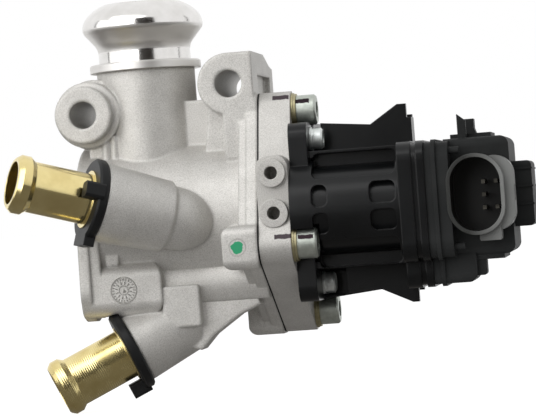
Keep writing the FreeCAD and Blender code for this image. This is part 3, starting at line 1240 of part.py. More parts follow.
def all_nodes():
    return {
        "valve_housing": valve_housing(),
        "outlet_nozzle": outlet_nozzle(),
        "valve_seat_ring": valve_seat_ring(),
        "valve_poppet": valve_poppet(),
        "valve_stem": valve_stem(),
        "stem_guide": stem_guide(),
        "stem_seal": stem_seal(),
        "return_spring": return_spring(),
        "spring_retainer": spring_retainer(),
        "spring_seat": spring_seat(),
        "cross_pin": cross_pin(),
        "upper_water_pipe": water_pipe(UPPER_PIPE_AT, UPPER_PIPE_WAY),
        "lower_water_pipe": water_pipe(LOWER_PIPE_AT, LOWER_PIPE_WAY),
        "upper_pipe_collar": pipe_collar(UPPER_PIPE_AT, UPPER_PIPE_WAY, UPPER_PEG_SIDE, UPPER_TAB_SIDE),
        "lower_pipe_collar": pipe_collar(LOWER_PIPE_AT, LOWER_PIPE_WAY, LOWER_PEG_SIDE),
        "carrier_gasket": carrier_gasket(),
        "actuator_carrier": actuator_carrier(),
        "carrier_bolts": carrier_bolts(),
        "carrier_bolt_washers": carrier_bolt_washers(),
        "actuator_seal": actuator_seal(),
        "actuator_housing": actuator_housing(),
        "actuator_screws": actuator_screws(),
        "actuator_screw_washers": actuator_screw_washers(),
        "gear_cover": gear_cover(),
        "connector_shroud": connector_shroud(),
        "connector_pins": connector_pins(),
        "sensor_board": sensor_board(),
        "sensor_cap": sensor_cap(),
        "output_gear": output_gear(),
        "output_gear_pin": output_gear_pin(),
        "sensor_magnet": sensor_magnet(),
        "idler_gear": idler_gear(),
        "idler_pin": idler_pin(),
        "motor_can": motor_can(),
        "motor_magnets": motor_magnets(),
        "motor_end_cap": motor_end_cap(),
        "motor_bushes": motor_bushes(),
        "motor_brushes": motor_brushes(),
        "motor_shaft": motor_shaft(),
        "motor_armature": motor_armature(),
        "motor_commutator": motor_commutator(),
        "motor_pinion": motor_pinion(),
    }


os.makedirs("parts", exist_ok=True)
for name, shape in all_nodes().items():
    shape.exportStep(f"parts/{name}.step")
    print(name, len(shape.Solids), round(shape.Volume, 1), shape.isValid())
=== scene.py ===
import math

import bmesh
import bpy
from mathutils import Matrix, Vector


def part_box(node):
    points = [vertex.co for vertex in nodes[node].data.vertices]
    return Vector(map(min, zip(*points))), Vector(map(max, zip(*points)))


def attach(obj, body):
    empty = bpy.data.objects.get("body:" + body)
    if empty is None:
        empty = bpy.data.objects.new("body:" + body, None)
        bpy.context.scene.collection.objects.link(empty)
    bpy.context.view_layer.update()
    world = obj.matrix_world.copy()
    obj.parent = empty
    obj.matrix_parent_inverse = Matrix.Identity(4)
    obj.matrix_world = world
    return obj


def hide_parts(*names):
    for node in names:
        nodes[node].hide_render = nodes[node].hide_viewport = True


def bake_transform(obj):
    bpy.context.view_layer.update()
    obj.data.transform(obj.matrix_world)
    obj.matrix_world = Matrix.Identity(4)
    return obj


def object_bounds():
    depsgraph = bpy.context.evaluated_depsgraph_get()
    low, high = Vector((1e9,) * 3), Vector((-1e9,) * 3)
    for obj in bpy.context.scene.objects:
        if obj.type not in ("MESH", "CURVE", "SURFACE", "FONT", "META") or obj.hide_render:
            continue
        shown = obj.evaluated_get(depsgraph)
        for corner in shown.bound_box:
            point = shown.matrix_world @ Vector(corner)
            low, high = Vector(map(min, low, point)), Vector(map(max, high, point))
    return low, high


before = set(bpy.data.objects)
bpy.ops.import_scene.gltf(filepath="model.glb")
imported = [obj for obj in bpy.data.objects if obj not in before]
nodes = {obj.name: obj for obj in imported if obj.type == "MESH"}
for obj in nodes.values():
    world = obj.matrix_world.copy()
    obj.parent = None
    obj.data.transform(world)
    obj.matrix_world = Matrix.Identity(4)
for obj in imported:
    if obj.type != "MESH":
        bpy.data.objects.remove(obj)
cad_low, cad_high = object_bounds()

MM = 0.001

# The photograph's view: what it looks at, from where, and how wide it is there
LOOK_AT = Vector((60.0, 0.0, 2.5)) * MM
VIEW_WIDTH = 178.7 * MM
VIEW_DISTANCE = 900.0 * MM
VIEW_AZIMUTH = math.radians(8.0)
VIEW_ROLL = math.radians(4.2)
SENSOR_WIDTH = 36.0

# Where the turned pieces point: rise in the XZ plane and lean to the front, in degrees
UPPER_PIPE = (17.8, 26.0)
LOWER_PIPE = (-25.2, 14.0)
NOZZLE = (90.0, 0.0)

# Raised marks on the front, in millimetres: their depth is found on the casting
DIAL_AT = Vector((14.2, 0.0, -21.2))
DIAL_R = 4.5
DIAL_OUTER_TICKS = 24
DIAL_INNER_TICKS = 12
EJECTOR_MARK_AT = Vector((54.9, 0.0, -9.6))
EJECTOR_MARK_R = 2.7
MARK_SUNK = 0.02
BEAD_STEPS = 4
TICK_EDGE = 0.06
WELL_IN_FRONT_Y = -200.0

# Paint, in millimetres: the strokes are x from, x to and z
GREEN_DOT_R = 2.0
CARRIER_STROKES = ((66.9, 72.3, -7.2), (66.4, 71.8, 37.8))
BOLT_STROKES = ((74.2, 79.2, -7.8), (73.5, 78.3, 36.2))
PAINT_SOFT = 0.1
DOT_WANDER = 0.7
STROKE_WANDER = 0.4
STROKE_HALF_WIDTH = 0.7
GREEN_PAINT = "#1E9C6B"
INK_ON_CARRIER = "#33242B"
INK_ON_BOLTS = "#2A1F24"

# Where a finish fades out, from and to, in metres, and what the satin part of the nozzle is
DOT_BACK_Y = (-39.6 * MM, -39.2 * MM)
STROKE_BACK_Y = (-11.0 * MM, -10.0 * MM)
NOZZLE_COLLAR_TOP_Z = (53.6 * MM, 53.9 * MM)
NOZZLE_FLARE_FOOT_Z = (57.4 * MM, 58.0 * MM)
NOZZLE_FLARE_TOP_Z = (65.2 * MM, 65.9 * MM)
NOZZLE_SATIN_ROUGHER = 0.26
NOZZLE_SATIN_GREY = "#DBD9D6"

# The connector's oval socket, in metres: its middle, half its straight sides, and where its painted shade
# fades in and out: at the socket's wall, at its mouth, and from the shaded left to the lit right. Then the
# colours of the painted shade on the left and down in the socket
CONNECTOR_AT = Vector((131.9, 0.0, 1.8)) * MM
CONNECTOR_STRAIGHT = 3.8 * MM
CONNECTOR_WALL_R = (7.9 * MM, 8.1 * MM)
CONNECTOR_MOUTH_Y = (-42.2 * MM, -41.2 * MM)
CONNECTOR_SHADE_TO_LIT_X = (-3.0 * MM, 10.0 * MM)
CONNECTOR_LEFT_SHADE = "#2E2F2D"
CONNECTOR_SOCKET_SHADE = "#171716"

# The square wire of the return spring, in millimetres, and the steps that each turn is swept in
SPRING_WIRE = 1.1
SPRING_TURNS = 5
SPRING_STEPS = 32

# The body's round underside, in millimetres: y and z of its top and foot, and how far it swells
BELLY_X = (23.0, 61.3)
BELLY_TOP = (-20.9, -15.6)
BELLY_FOOT = (-20.2, -27.0)
BELLY_BULGE = 1.5
BELLY_BACK_Y = -14.0
BELLY_STEPS = 8

# The foot of the lower fin, in millimetres: x and z of its corners, its front and its thickness
FIN_ROOT_XZ = ((77.9, -20.0), (88.0, -20.0), (88.0, -27.8), (77.9, -28.7))
FIN_ROOT_Y = -7.9
FIN_ROOT_THICKNESS = 2.4

# Studio light: shader strengths, then each lamp's place from the valve, size in metres and power in watts
WHITE = "#FFFFFF"
WORLD_LIGHT = 0.26
FLOOR_GREY = "#E8E8E8"
FLOOR_GLOW = 1.85
FLOOR_GLOW_SHARE = 0.5
FLOOR_WIDTH = 24.0
FLOOR_GAP = 0.2 * MM
LAMPS = {"key_softbox": ((-0.38, -0.78, 0.48), 1.1, 7.3), "left_softbox": ((-0.95, -0.45, 0.25), 0.9, 1.2)}

# Studio cards: how dark the gaps between the soft boxes look, and how far back the side ones stand
GAP_DARK = "#2A2623"
LOW_GAP_GREY = "#73706D"
SIDE_GAP_TURN = math.radians(9)


def add(tree, kind, inputs=(), stops=(), **settings):
    """Adds a node with its settings and colour stops, and links its inputs, given by name or in order."""
    node = tree.nodes.new("ShaderNode" + kind)
    for name, value in settings.items():
        setattr(node, name, value)
    for index, (position, hex_code) in enumerate(stops):
        node.color_ramp.elements[index].position = position
        node.color_ramp.elements[index].color = linear(hex_code)
    for key, value in inputs.items() if isinstance(inputs, dict) else enumerate(inputs):
        if isinstance(value, bpy.types.Node):
            value = value.outputs[0]
        if isinstance(value, bpy.types.NodeSocket):
            tree.links.new(value, node.inputs[key])
        else:
            node.inputs[key].default_value = value
    return node


def linear(hex_code):
    """The linear colour of an sRGB hex value."""
    channels = [int(hex_code[start:start + 2], 16) / 255 for start in (1, 3, 5)]
    return [c / 12.92 if c <= 0.04045 else ((c + 0.055) / 1.055) ** 2.4 for c in channels] + [1.0]


def per(size_mm):
    """Texture scale that gives features of this size, in millimetres."""
    return 1 / (size_mm * MM)


def empty_tree(owner):
    """The node tree of a material or the world, with nothing in it."""
    owner.use_nodes = True
    owner.node_tree.nodes.clear()
    return owner.node_tree


def new_material(name, finish, **values):
    """A material whose surface is what a finish works out in its node tree."""
    material = bpy.data.materials.new(name)
    tree = empty_tree(material)
    shader = add(tree, "BsdfPrincipled", finish(tree, **values))
    add(tree, "OutputMaterial", {"Surface": shader})
    return material


def relief(tree, height, strength, depth_mm, edge_mm):
    """The bumps of a surface, over corners that a small radius softens."""
    soft_edge = add(tree, "Bevel", {"Radius": edge_mm * MM}, samples=6)
    return add(tree, "Bump", {"Strength": strength, "Distance": depth_mm * MM, "Height": height,
                              "Normal": soft_edge})


# Paint marks

def round_mark(tree, at, centre, radius_mm):
    """1 inside a hand-dabbed round mark on the front, whose edge wanders a little."""
    flat = add(tree, "VectorMath", [at, (1, 0, 1)], operation="MULTIPLY")
    away = add(tree, "VectorMath", [flat, centre * MM], operation="DISTANCE").outputs["Value"]
    noise = add(tree, "TexNoise", {"Vector": at, "Scale": per(1.6), "Detail": 2.0})
    wander = add(tree, "MapRange", [noise, 0, 1, -DOT_WANDER * MM, DOT_WANDER * MM])
    edge = add(tree, "Math", [away, wander], operation="ADD")
    limits = ((radius_mm - PAINT_SOFT) * MM, (radius_mm + PAINT_SOFT) * MM)
    inside = add(tree, "MapRange", [edge, *limits, 1, 0])
    depth = add(tree, "SeparateXYZ", [at]).outputs["Y"]
    front = add(tree, "MapRange", [depth, *DOT_BACK_Y, 1, 0])
    return add(tree, "Math", [inside, front], operation="MULTIPLY")


def pen_stroke(tree, at, x_from, x_to, z_middle):
    """1 inside a short pen line along X on the front, about 1.5 mm wide."""
    axes = add(tree, "SeparateXYZ", [at])
    noise = add(tree, "TexNoise", {"Vector": at, "Scale": per(1.8), "Detail": 2.0})
    wander = add(tree, "MapRange", [noise, 0, 1, -STROKE_WANDER * MM, STROKE_WANDER * MM])
    height = add(tree, "Math", [axes.outputs["Z"], z_middle * MM], operation="SUBTRACT")
    off = add(tree, "Math", [height], operation="ABSOLUTE")
    off = add(tree, "Math", [off, wander], operation="ADD")
    stroke = add(tree, "MapRange", [axes.outputs["Y"], *STROKE_BACK_Y, 1, 0])
    along = axes.outputs["X"]
    sides = ((off, STROKE_HALF_WIDTH, 1, 0), (along, x_from, 0, 1), (along, x_to, 1, 0))
    for value, side, before, after in sides:
        limits = ((side - PAINT_SOFT) * MM, (side + PAINT_SOFT) * MM)
        within = add(tree, "MapRange", [value, *limits, before, after])
        stroke = add(tree, "Math", [stroke, within], operation="MULTIPLY")
    return stroke


def housing_marks(tree, at):
    """The green dot that an inspector dabs on the ejector mark."""
    return [(round_mark(tree, at, EJECTOR_MARK_AT, GREEN_DOT_R), GREEN_PAINT)]


def carrier_marks(tree, at):
    """The halves on the carrier of the strokes that run on over its bolts."""
    return [(pen_stroke(tree, at, *stroke), INK_ON_CARRIER) for stroke in CARRIER_STROKES]


# Metals

def blasted_aluminium(tree, bright, dull, speck, edge_mm, marks):
    """Die-cast aluminium after blasting: a matte warm grey with a fine sparkling grain and faint clouds."""
    at = add(tree, "TexCoord").outputs["Object"]
    clouds = add(tree, "TexNoise", {"Vector": at, "Scale": per(9.0), "Detail": 3.0})
    grain = add(tree, "TexNoise", {"Vector": at, "Scale": per(0.3), "Detail": 2.0, "Roughness": 0.7})
    colour = add(tree, "ValToRGB", [clouds], stops=((0.3, dull), (0.7, bright)))
    specks = add(tree, "ValToRGB", [grain], stops=((0.3, speck), (0.6, WHITE)))
    colour = add(tree, "Mix", {0: 0.6, 6: colour, 7: specks}, data_type="RGBA",
                 blend_type="MULTIPLY").outputs[2]
    metal = 0.55
    for mask, hex_code in marks(tree, at):
        colour = add(tree, "Mix", {0: mask, 6: colour, 7: linear(hex_code)}, data_type="RGBA").outputs[2]
        bare = add(tree, "Math", [1.0, mask], operation="SUBTRACT")
        metal = add(tree, "Math", [metal, bare], operation="MULTIPLY")
    return {"Base Color": colour, "Metallic": metal,
            "Roughness": add(tree, "MapRange", [grain, 0, 1, 0.44, 0.6]),
            "Normal": relief(tree, grain, strength=0.22, depth_mm=0.06, edge_mm=edge_mm)}


def turned_metal(tree, bright, dull, axis, pitch_mm, roughness, groove):
    """Bright turned metal: a mirror with fine rings, drawn coarser than the real feed so that they show."""
    at = add(tree, "TexCoord").outputs["Object"]
    rise, lean = (math.radians(angle) for angle in axis)
    way = (-math.cos(lean) * math.cos(rise), -math.sin(lean), math.cos(lean) * math.sin(rise))
    along = add(tree, "VectorMath", [at, way], operation="DOT_PRODUCT").outputs["Value"]
    phase = add(tree, "Math", [along, 2 * math.pi * per(pitch_mm)], operation="MULTIPLY")
    noise = add(tree, "TexNoise", {"Vector": at, "Scale": per(3.0), "Detail": 2.0})
    wobble = add(tree, "Math", [noise, 3.0], operation="MULTIPLY")
    phase = add(tree, "Math", [phase, wobble], operation="ADD")
    rings = add(tree, "Math", [phase], operation="SINE")
    clouds = add(tree, "TexNoise", {"Vector": at, "Scale": per(6.0), "Detail": 3.0})
    worn = add(tree, "MapRange", [clouds, 0.45, 0.62])
    rings = add(tree, "Math", [rings, worn], operation="MULTIPLY")
    return {"Base Color": add(tree, "ValToRGB", [clouds], stops=((0.3, dull), (0.7, bright))),
            "Metallic": 1.0,
            "Roughness": add(tree, "MapRange", [rings, -1, 1, *roughness]),
            "Normal": relief(tree, rings, strength=groove, depth_mm=0.02, edge_mm=0.35)}


def turned_nozzle(tree):
    """Turned aluminium, satin on the flare under the hose bulb and on the collar, and bright on the rest."""
    surface = turned_metal(tree, bright="#E9E7E5", dull="#DEDCD9", axis=NOZZLE, pitch_mm=0.5,
                           roughness=(0.12, 0.2), groove=0.05)
    height = add(tree, "SeparateXYZ", [add(tree, "TexCoord").outputs["Object"]]).outputs["Z"]
    over_foot = add(tree, "MapRange", [height, *NOZZLE_FLARE_FOOT_Z])
    under_bulb = add(tree, "MapRange", [height, *NOZZLE_FLARE_TOP_Z, 1, 0])
    flare = add(tree, "Math", [over_foot, under_bulb], operation="MULTIPLY")
    collar = add(tree, "MapRange", [height, *NOZZLE_COLLAR_TOP_Z, 1, 0])
    satin = add(tree, "Math", [flare, collar], operation="MAXIMUM")
    rougher = add(tree, "Math", [satin, NOZZLE_SATIN_ROUGHER], operation="MULTIPLY")
    surface["Roughness"] = add(tree, "Math", [surface["Roughness"], rougher], operation="ADD")
    colour = surface["Base Color"]
    surface["Base Color"] = add(tree, "Mix", {0: satin, 6: colour, 7: linear(NOZZLE_SATIN_GREY)},
                                data_type="RGBA").outputs[2]
    return surface


def zinc_plated_steel(tree, light, dark, strokes=()):
    """Zinc-plated steel: satin, slightly green, blue or yellow, with cloudy passivation."""
    at = add(tree, "TexCoord").outputs["Object"]
    clouds = add(tree, "TexNoise", {"Vector": at, "Scale": per(2.5), "Detail": 4.0, "Roughness": 0.65})
    colour = add(tree, "ValToRGB", [clouds], stops=((0.3, dark), (0.7, light)))
    for stroke in strokes:
        ink = pen_stroke(tree, at, *stroke)
        colour = add(tree, "Mix", {0: ink, 6: colour, 7: linear(INK_ON_BOLTS)}, data_type="RGBA").outputs[2]
    return {"Base Color": colour, "Metallic": 0.85,
            "Roughness": add(tree, "MapRange", [clouds, 0, 1, 0.32, 0.5]),
            "Normal": relief(tree, clouds, strength=0.1, depth_mm=0.03, edge_mm=0.3)}


def ground_steel(tree, light, dark, roughness):
    """Ground or drawn metal of the hidden works, with faint streaks along the stem."""
    at = add(tree, "TexCoord").outputs["Object"]
    drawn_out = add(tree, "Mapping", {"Vector": at, "Scale": (0.15, 1.0, 1.0)})
    streaks = add(tree, "TexNoise", {"Vector": drawn_out, "Scale": per(2.0), "Detail": 2.0})
    return {"Base Color": add(tree, "ValToRGB", [streaks], stops=((0.3, dark), (0.7, light))),
            "Metallic": 1.0,
            "Roughness": add(tree, "MapRange", [streaks, 0, 1, roughness - 0.06, roughness + 0.08])}


# Plastics and rubber

def moulded_plastic(tree, light, dark, roughness, gloss, grain_mm, edge_mm):
    """Glass-filled plastic: dark and even, with flow marks, a faint spark grain and soft corners."""
    at = add(tree, "TexCoord").outputs["Object"]
    flow = add(tree, "TexNoise", {"Vector": at, "Scale": per(14.0), "Detail": 4.0})
    grain = add(tree, "TexNoise", {"Vector": at, "Scale": per(grain_mm), "Detail": 2.0})
    return {"Base Color": add(tree, "ValToRGB", [flow], stops=((0.3, dark), (0.7, light))),
            "Roughness": add(tree, "MapRange", [flow, 0, 1, roughness - 0.06, roughness + 0.06]),
            "Specular IOR Level": gloss,
            "Normal": relief(tree, grain, strength=0.15, depth_mm=0.05, edge_mm=edge_mm)}


def connector_plastic_painted_shade(tree):
    """Grey glass-filled plastic of the plug shroud, with painted shade: darker at its left and almost black
    down in its socket.
    """
    surface = moulded_plastic(tree, light="#8E8F8D", dark="#818280", roughness=0.42, gloss=0.4, grain_mm=0.4,
                              edge_mm=0.35)
    at = add(tree, "TexCoord").outputs["Object"]
    # Painted shade: the colour goes almost black inside the socket's wall and behind its mouth, where shade
    # falls.
    off = add(tree, "VectorMath", [at, CONNECTOR_AT], operation="SUBTRACT")
    axes = add(tree, "SeparateXYZ", [off])
    height = add(tree, "Math", [axes.outputs["Z"]], operation="ABSOLUTE")
    past_straight = add(tree, "Math", [height, CONNECTOR_STRAIGHT], operation="SUBTRACT")
    past_straight = add(tree, "Math", [past_straight, 0.0], operation="MAXIMUM")
    across = add(tree, "CombineXYZ", [axes.outputs["X"], 0.0, past_straight])
    radius = add(tree, "VectorMath", [across], operation="LENGTH").outputs["Value"]
    inside = add(tree, "MapRange", [radius, *CONNECTOR_WALL_R, 1, 0])
    deep = add(tree, "MapRange", [axes.outputs["Y"], *CONNECTOR_MOUTH_Y])
    socket = add(tree, "Math", [inside, deep], operation="MULTIPLY")
    # Painted shade: the left side is coloured darker than the lit right side.
    right = add(tree, "MapRange", [axes.outputs["X"], *CONNECTOR_SHADE_TO_LIT_X])
    colour = add(tree, "Mix", {0: right, 6: linear(CONNECTOR_LEFT_SHADE), 7: surface["Base Color"]},
                 data_type="RGBA").outputs[2]
    surface["Base Color"] = add(tree, "Mix", {0: socket, 6: colour, 7: linear(CONNECTOR_SOCKET_SHADE)},
                                data_type="RGBA").outputs[2]
    return surface


def circuit_board(tree):
    """Green lacquer over glass cloth, whose weave shows through faintly."""
    at = add(tree, "TexCoord").outputs["Object"]
    weave = add(tree, "TexChecker", {"Vector": at, "Scale": per(0.7), "Color1": linear("#1F5A34"),
                                     "Color2": linear("#245F39")})
    return {"Base Color": weave, "Roughness": 0.25}


# Which material each CAD node gets

def dress(material, *names):
    """Gives CAD nodes this material in every slot."""
    for name in names:
        for slot in nodes[name].material_slots:
            slot.material = material


def dress_turned():
    """Machined aluminium and brass: the carrier is satin, the nozzle and the pipes are mirrors."""
    dress(new_material("machined_aluminium", blasted_aluminium, bright="#D3D1CD", dull="#C8C6C2",
                       speck="#B6B4B0", edge_mm=0.4, marks=carrier_marks), "actuator_carrier")
    dress(new_material("turned_aluminium", turned_nozzle), "outlet_nozzle")
    dress(new_material("upper_turned_brass", turned_metal, bright="#F2E2A6", dull="#E2CF92", axis=UPPER_PIPE,
                       pitch_mm=0.7, roughness=(0.14, 0.22), groove=0.2), "upper_water_pipe")
    dress(new_material("lower_turned_brass", turned_metal, bright="#F2E2A6", dull="#DCC888", axis=LOWER_PIPE,
                       pitch_mm=0.7, roughness=(0.16, 0.32), groove=0.9), "lower_water_pipe")


def dress_fasteners():
    """Zinc-plated fasteners: the plating is a greenish, a bluish or a yellow grey."""
    dress(new_material("green_zinc_steel", zinc_plated_steel, light="#C6CBC3", dark="#AAB0A8",
                       strokes=BOLT_STROKES), "carrier_bolts")
    dress(new_material("blue_zinc_steel", zinc_plated_steel, light="#E6EAE8", dark="#D2D7D5"),
          "actuator_screws", "actuator_screw_washers")
    dress(new_material("yellow_zinc_steel", zinc_plated_steel, light="#B9B290", dark="#958D6C"),
          "carrier_bolt_washers")


def dress_works():
    """The works inside: bright steel, tinned pins coloured dark grey as painted shade of the socket, brown
    bronze, dark ferrite and a green board.
    """
    dress(new_material("ground_steel", ground_steel, light="#B9B9BA", dark="#8F8F91", roughness=0.25),
          "valve_stem", "valve_poppet", "valve_seat_ring", "spring_retainer", "spring_seat", "cross_pin",
          "output_gear_pin", "idler_pin", "motor_shaft", "motor_can", "motor_pinion")
    dress(spring_steel, "return_spring")
    # Painted shade: the tinned pins are coloured dark grey for the shade deep in the connector socket.
    dress(new_material("tinned_bronze_painted_shade", ground_steel, light="#6F6D66", dark="#55534D", roughness=0.35),
          "connector_pins")
    dress(new_material("sintered_bronze", ground_steel, light="#B98A58", dark="#94683C", roughness=0.45),
          "stem_guide", "motor_bushes", "motor_commutator")
    dress(new_material("ferrite", ground_steel, light="#4A4A4E", dark="#333337", roughness=0.55),
          "sensor_magnet", "motor_magnets", "motor_armature", "motor_brushes")
    dress(new_material("board_lacquer", circuit_board), "sensor_board")


def dress_plastics():
    """Matte covers, a grey connector, glossier collars, dull rubber and ivory gears."""
    dress(new_material("black_polyester", moulded_plastic, light="#363737", dark="#2C2D2D", roughness=0.5,
                       gloss=0.05, grain_mm=0.4, edge_mm=0.45), "gear_cover", "sensor_cap")
    dress(new_material("grey_polyamide_painted_shade", connector_plastic_painted_shade), "connector_shroud")
    dress(new_material("black_acetal", moulded_plastic, light="#1D1E1E", dark="#151516", roughness=0.42,
                       gloss=0.22, grain_mm=0.3, edge_mm=0.5), "upper_pipe_collar", "lower_pipe_collar")
    dress(new_material("nitrile_rubber", moulded_plastic, light="#1C1C1D", dark="#141415", roughness=0.6,
                       gloss=0.3, grain_mm=0.5, edge_mm=0.2), "carrier_gasket", "actuator_seal", "stem_seal")
    dress(new_material("white_acetal", moulded_plastic, light="#D9D4C4", dark="#CBC5B3", roughness=0.4,
                       gloss=0.5, grain_mm=0.5, edge_mm=0.15), "output_gear", "idler_gear", "motor_end_cap")


cast = new_material("die_cast_aluminium", blasted_aluminium, bright="#DCDAD6", dull="#CFCDC9",
                    speck="#AEACA8", edge_mm=1.5, marks=housing_marks)
spring_steel = new_material("spring_steel", ground_steel, light="#A5A6A8", dark="#77787A", roughness=0.3)
black_polyamide = new_material("black_polyamide", moulded_plastic, light="#131415", dark="#0D0E0F",
                               roughness=0.3, gloss=0.28, grain_mm=0.4, edge_mm=0.5)
dress(cast, "valve_housing")
dress(black_polyamide, "actuator_housing")
dress_turned()
dress_fasteners()
dress_works()
dress_plastics()


# Added cast detail

def front_ring(shape, centre, radius, width, height, steps):
    """A low bead round a place on the front, spun from its half-round section."""
    section = []
    for step in range(BEAD_STEPS + 1):
        angle = math.pi * step / BEAD_STEPS
        out = radius + width / 2 * math.cos(angle)
        section.append(shape.verts.new(centre + Vector((out, -height * math.sin(angle), 0)) * MM))
    edges = [shape.edges.new(pair) for pair in zip(section, section[1:])]
    bmesh.ops.spin(shape, geom=section + edges, cent=centre, axis=(0, 1, 0), angle=2 * math.pi, steps=steps,
                   use_merge=True)


def front_tick(shape, centre, angle, radius, length, width, height):
    """A small raised bar on the front, at this radius and angle, that points at the centre."""
    made = bmesh.ops.create_cube(shape, size=1.0)["verts"]
    bmesh.ops.scale(shape, verts=made, vec=Vector((length, height, width)) * MM)
    edges = list({edge for vert in made for edge in vert.link_edges})
    made = bmesh.ops.bevel(shape, geom=made + edges, offset=TICK_EDGE * MM, affect="EDGES", segments=1,
                           profile=0.5, material=-1)["verts"]
    bmesh.ops.translate(shape, verts=made, vec=Vector((radius, 0, 0)) * MM)
    bmesh.ops.rotate(shape, verts=made, cent=(0, 0, 0), matrix=Matrix.Rotation(angle, 3, "Y"))
    bmesh.ops.translate(shape, verts=made, vec=centre)


def make_piece(name, shape, material, body):
    """Turns a shape into a piece of this material, which rides on a body if one is given."""
    bmesh.ops.remove_doubles(shape, verts=shape.verts, dist=0.001 * MM)
    bmesh.ops.recalc_face_normals(shape, faces=shape.faces)
    mesh = bpy.data.meshes.new(name)
    shape.to_mesh(mesh)
    shape.free()
    piece = bpy.data.objects.new(name, mesh)
    bpy.context.scene.collection.objects.link(piece)
    mesh.materials.append(material)
    if body:
        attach(piece, body)
    return piece


def on_housing_front(at):
    """The place where a line along Y first meets the housing, sunk just under its surface."""
    start = Vector((at.x, WELL_IN_FRONT_Y, at.z)) * MM
    met = nodes["valve_housing"].ray_cast(start, Vector((0, 1, 0)))[1]
    return met + Vector((0, MARK_SUNK * MM, 0))


def make_date_dial():
    """The dial that a foundry casts to show the month: a ring, two rows of ticks and an arrow."""
    centre = on_housing_front(DIAL_AT)
    shape = bmesh.new()
    front_ring(shape, centre, radius=DIAL_R - 0.25, width=0.5, height=0.35, steps=48)
    front_ring(shape, centre, radius=1.5, width=0.3, height=0.28, steps=24)
    for index in range(DIAL_OUTER_TICKS):
        angle = 2 * math.pi * index / DIAL_OUTER_TICKS
        front_tick(shape, centre, angle, radius=DIAL_R - 0.95, length=0.75, width=0.3, height=0.6)
    for index in range(DIAL_INNER_TICKS):
        angle = 2 * math.pi * (index + 0.4) / DIAL_INNER_TICKS
        front_tick(shape, centre, angle, radius=DIAL_R - 2.1, length=0.95, width=0.35, height=0.55)
    arrow_at = centre + Vector((0.1, 0, 0.2)) * MM
    for bend in (-0.5, 0.0, 0.5):
        angle = math.radians(75) + bend
        front_tick(shape, arrow_at, angle, radius=0.5, length=1.1, width=0.3, height=0.6)
    make_piece("date_dial", shape, cast, "valve")


def make_ejector_mark():
    """The faint ring that an ejector pin leaves."""
    centre = on_housing_front(EJECTOR_MARK_AT)
    shape = bmesh.new()
    front_ring(shape, centre, radius=EJECTOR_MARK_R, width=0.35, height=0.2, steps=48)
    make_piece("ejector_mark", shape, cast, "valve")


def swept_form(corners, way):
    """A block with the given corners on one end, swept along a way in millimetres."""
    shape = bmesh.new()
    face = shape.faces.new([shape.verts.new(Vector(corner) * MM) for corner in corners])
    swept = bmesh.ops.extrude_face_region(shape, geom=[face])["geom"]
    verts = [item for item in swept if isinstance(item, bmesh.types.BMVert)]
    bmesh.ops.translate(shape, verts=verts, vec=Vector(way) * MM)
    return shape


def make_belly():
    """The round underside of the body, which runs on down between the square pad and the joint flange."""
    (top_y, top_z), (foot_y, foot_z) = BELLY_TOP, BELLY_FOOT
    section = []
    for index in range(BELLY_STEPS + 1):
        share = index / BELLY_STEPS
        y = top_y + (foot_y - top_y) * share - BELLY_BULGE * 4 * share * (1 - share)
        section.append((y, top_z + (foot_z - top_z) * share))
    section += [(BELLY_BACK_Y, foot_z), (BELLY_BACK_Y, top_z)]
    start, end = BELLY_X
    shape = swept_form([(start, y, z) for y, z in section], (end - start, 0, 0))
    make_piece("cast_belly", shape, cast, "valve")


def make_fin_root():
    """The foot of the lower fin, which runs on behind the front screw to the actuator's flange."""
    corners = [(x, FIN_ROOT_Y, z) for x, z in FIN_ROOT_XZ]
    shape = swept_form(corners, (0, FIN_ROOT_THICKNESS, 0))
    make_piece("fin_root", shape, black_polyamide, "valve")


def make_spring():
    """The square-wire return spring, between the stem's retainer and the housing's seat."""
    low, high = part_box("return_spring")
    half = SPRING_WIRE / 2 * MM
    middle = Vector((low.x + half, 0, high.z - half))
    steps = SPRING_TURNS * SPRING_STEPS
    step_along = (high.x - low.x - SPRING_WIRE * MM) / steps
    corners = [(-half, -half), (half, -half), (half, half), (-half, half)]
    shape = bmesh.new()
    face = shape.faces.new([shape.verts.new(middle + Vector((along, 0, out))) for along, out in corners])
    bmesh.ops.spin(shape, geom=[face], cent=(0, 0, 0), axis=(1, 0, 0), dvec=(step_along, 0, 0),
                   angle=2 * math.pi * SPRING_TURNS, steps=steps)
    spring = make_piece("return_spring_wire", shape, spring_steel, None)
    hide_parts("return_spring")
    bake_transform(spring)


make_date_dial()
make_ejector_mark()
make_belly()
make_fin_root()
make_spring()


# Camera

def level_axes():
    """Right and back of the photograph's camera, before its roll."""
    right = Vector((math.cos(VIEW_AZIMUTH), math.sin(VIEW_AZIMUTH), 0))
    back = Vector((math.sin(VIEW_AZIMUTH), -math.cos(VIEW_AZIMUTH), 0))
    return right, back


def make_camera():
    level, back = level_axes()
    upright = Vector((0, 0, 1))
    right = level * math.cos(VIEW_ROLL) - upright * math.sin(VIEW_ROLL)
    up = upright * math.cos(VIEW_ROLL) + level * math.sin(VIEW_ROLL)
    data = bpy.data.cameras.new("photo_camera")
    camera = bpy.data.objects.new("photo_camera", data)
    bpy.context.scene.collection.objects.link(camera)
    data.sensor_fit = "HORIZONTAL"
    data.sensor_width = SENSOR_WIDTH
    data.lens = SENSOR_WIDTH * VIEW_DISTANCE / VIEW_WIDTH
    data.clip_start = 0.05
    data.clip_end = 50
    turn = Matrix((right, up, back)).transposed()
    camera.matrix_world = Matrix.Translation(LOOK_AT + back * VIEW_DISTANCE) @ turn.to_4x4()
    bpy.context.scene.camera = camera


make_camera()


# Studio

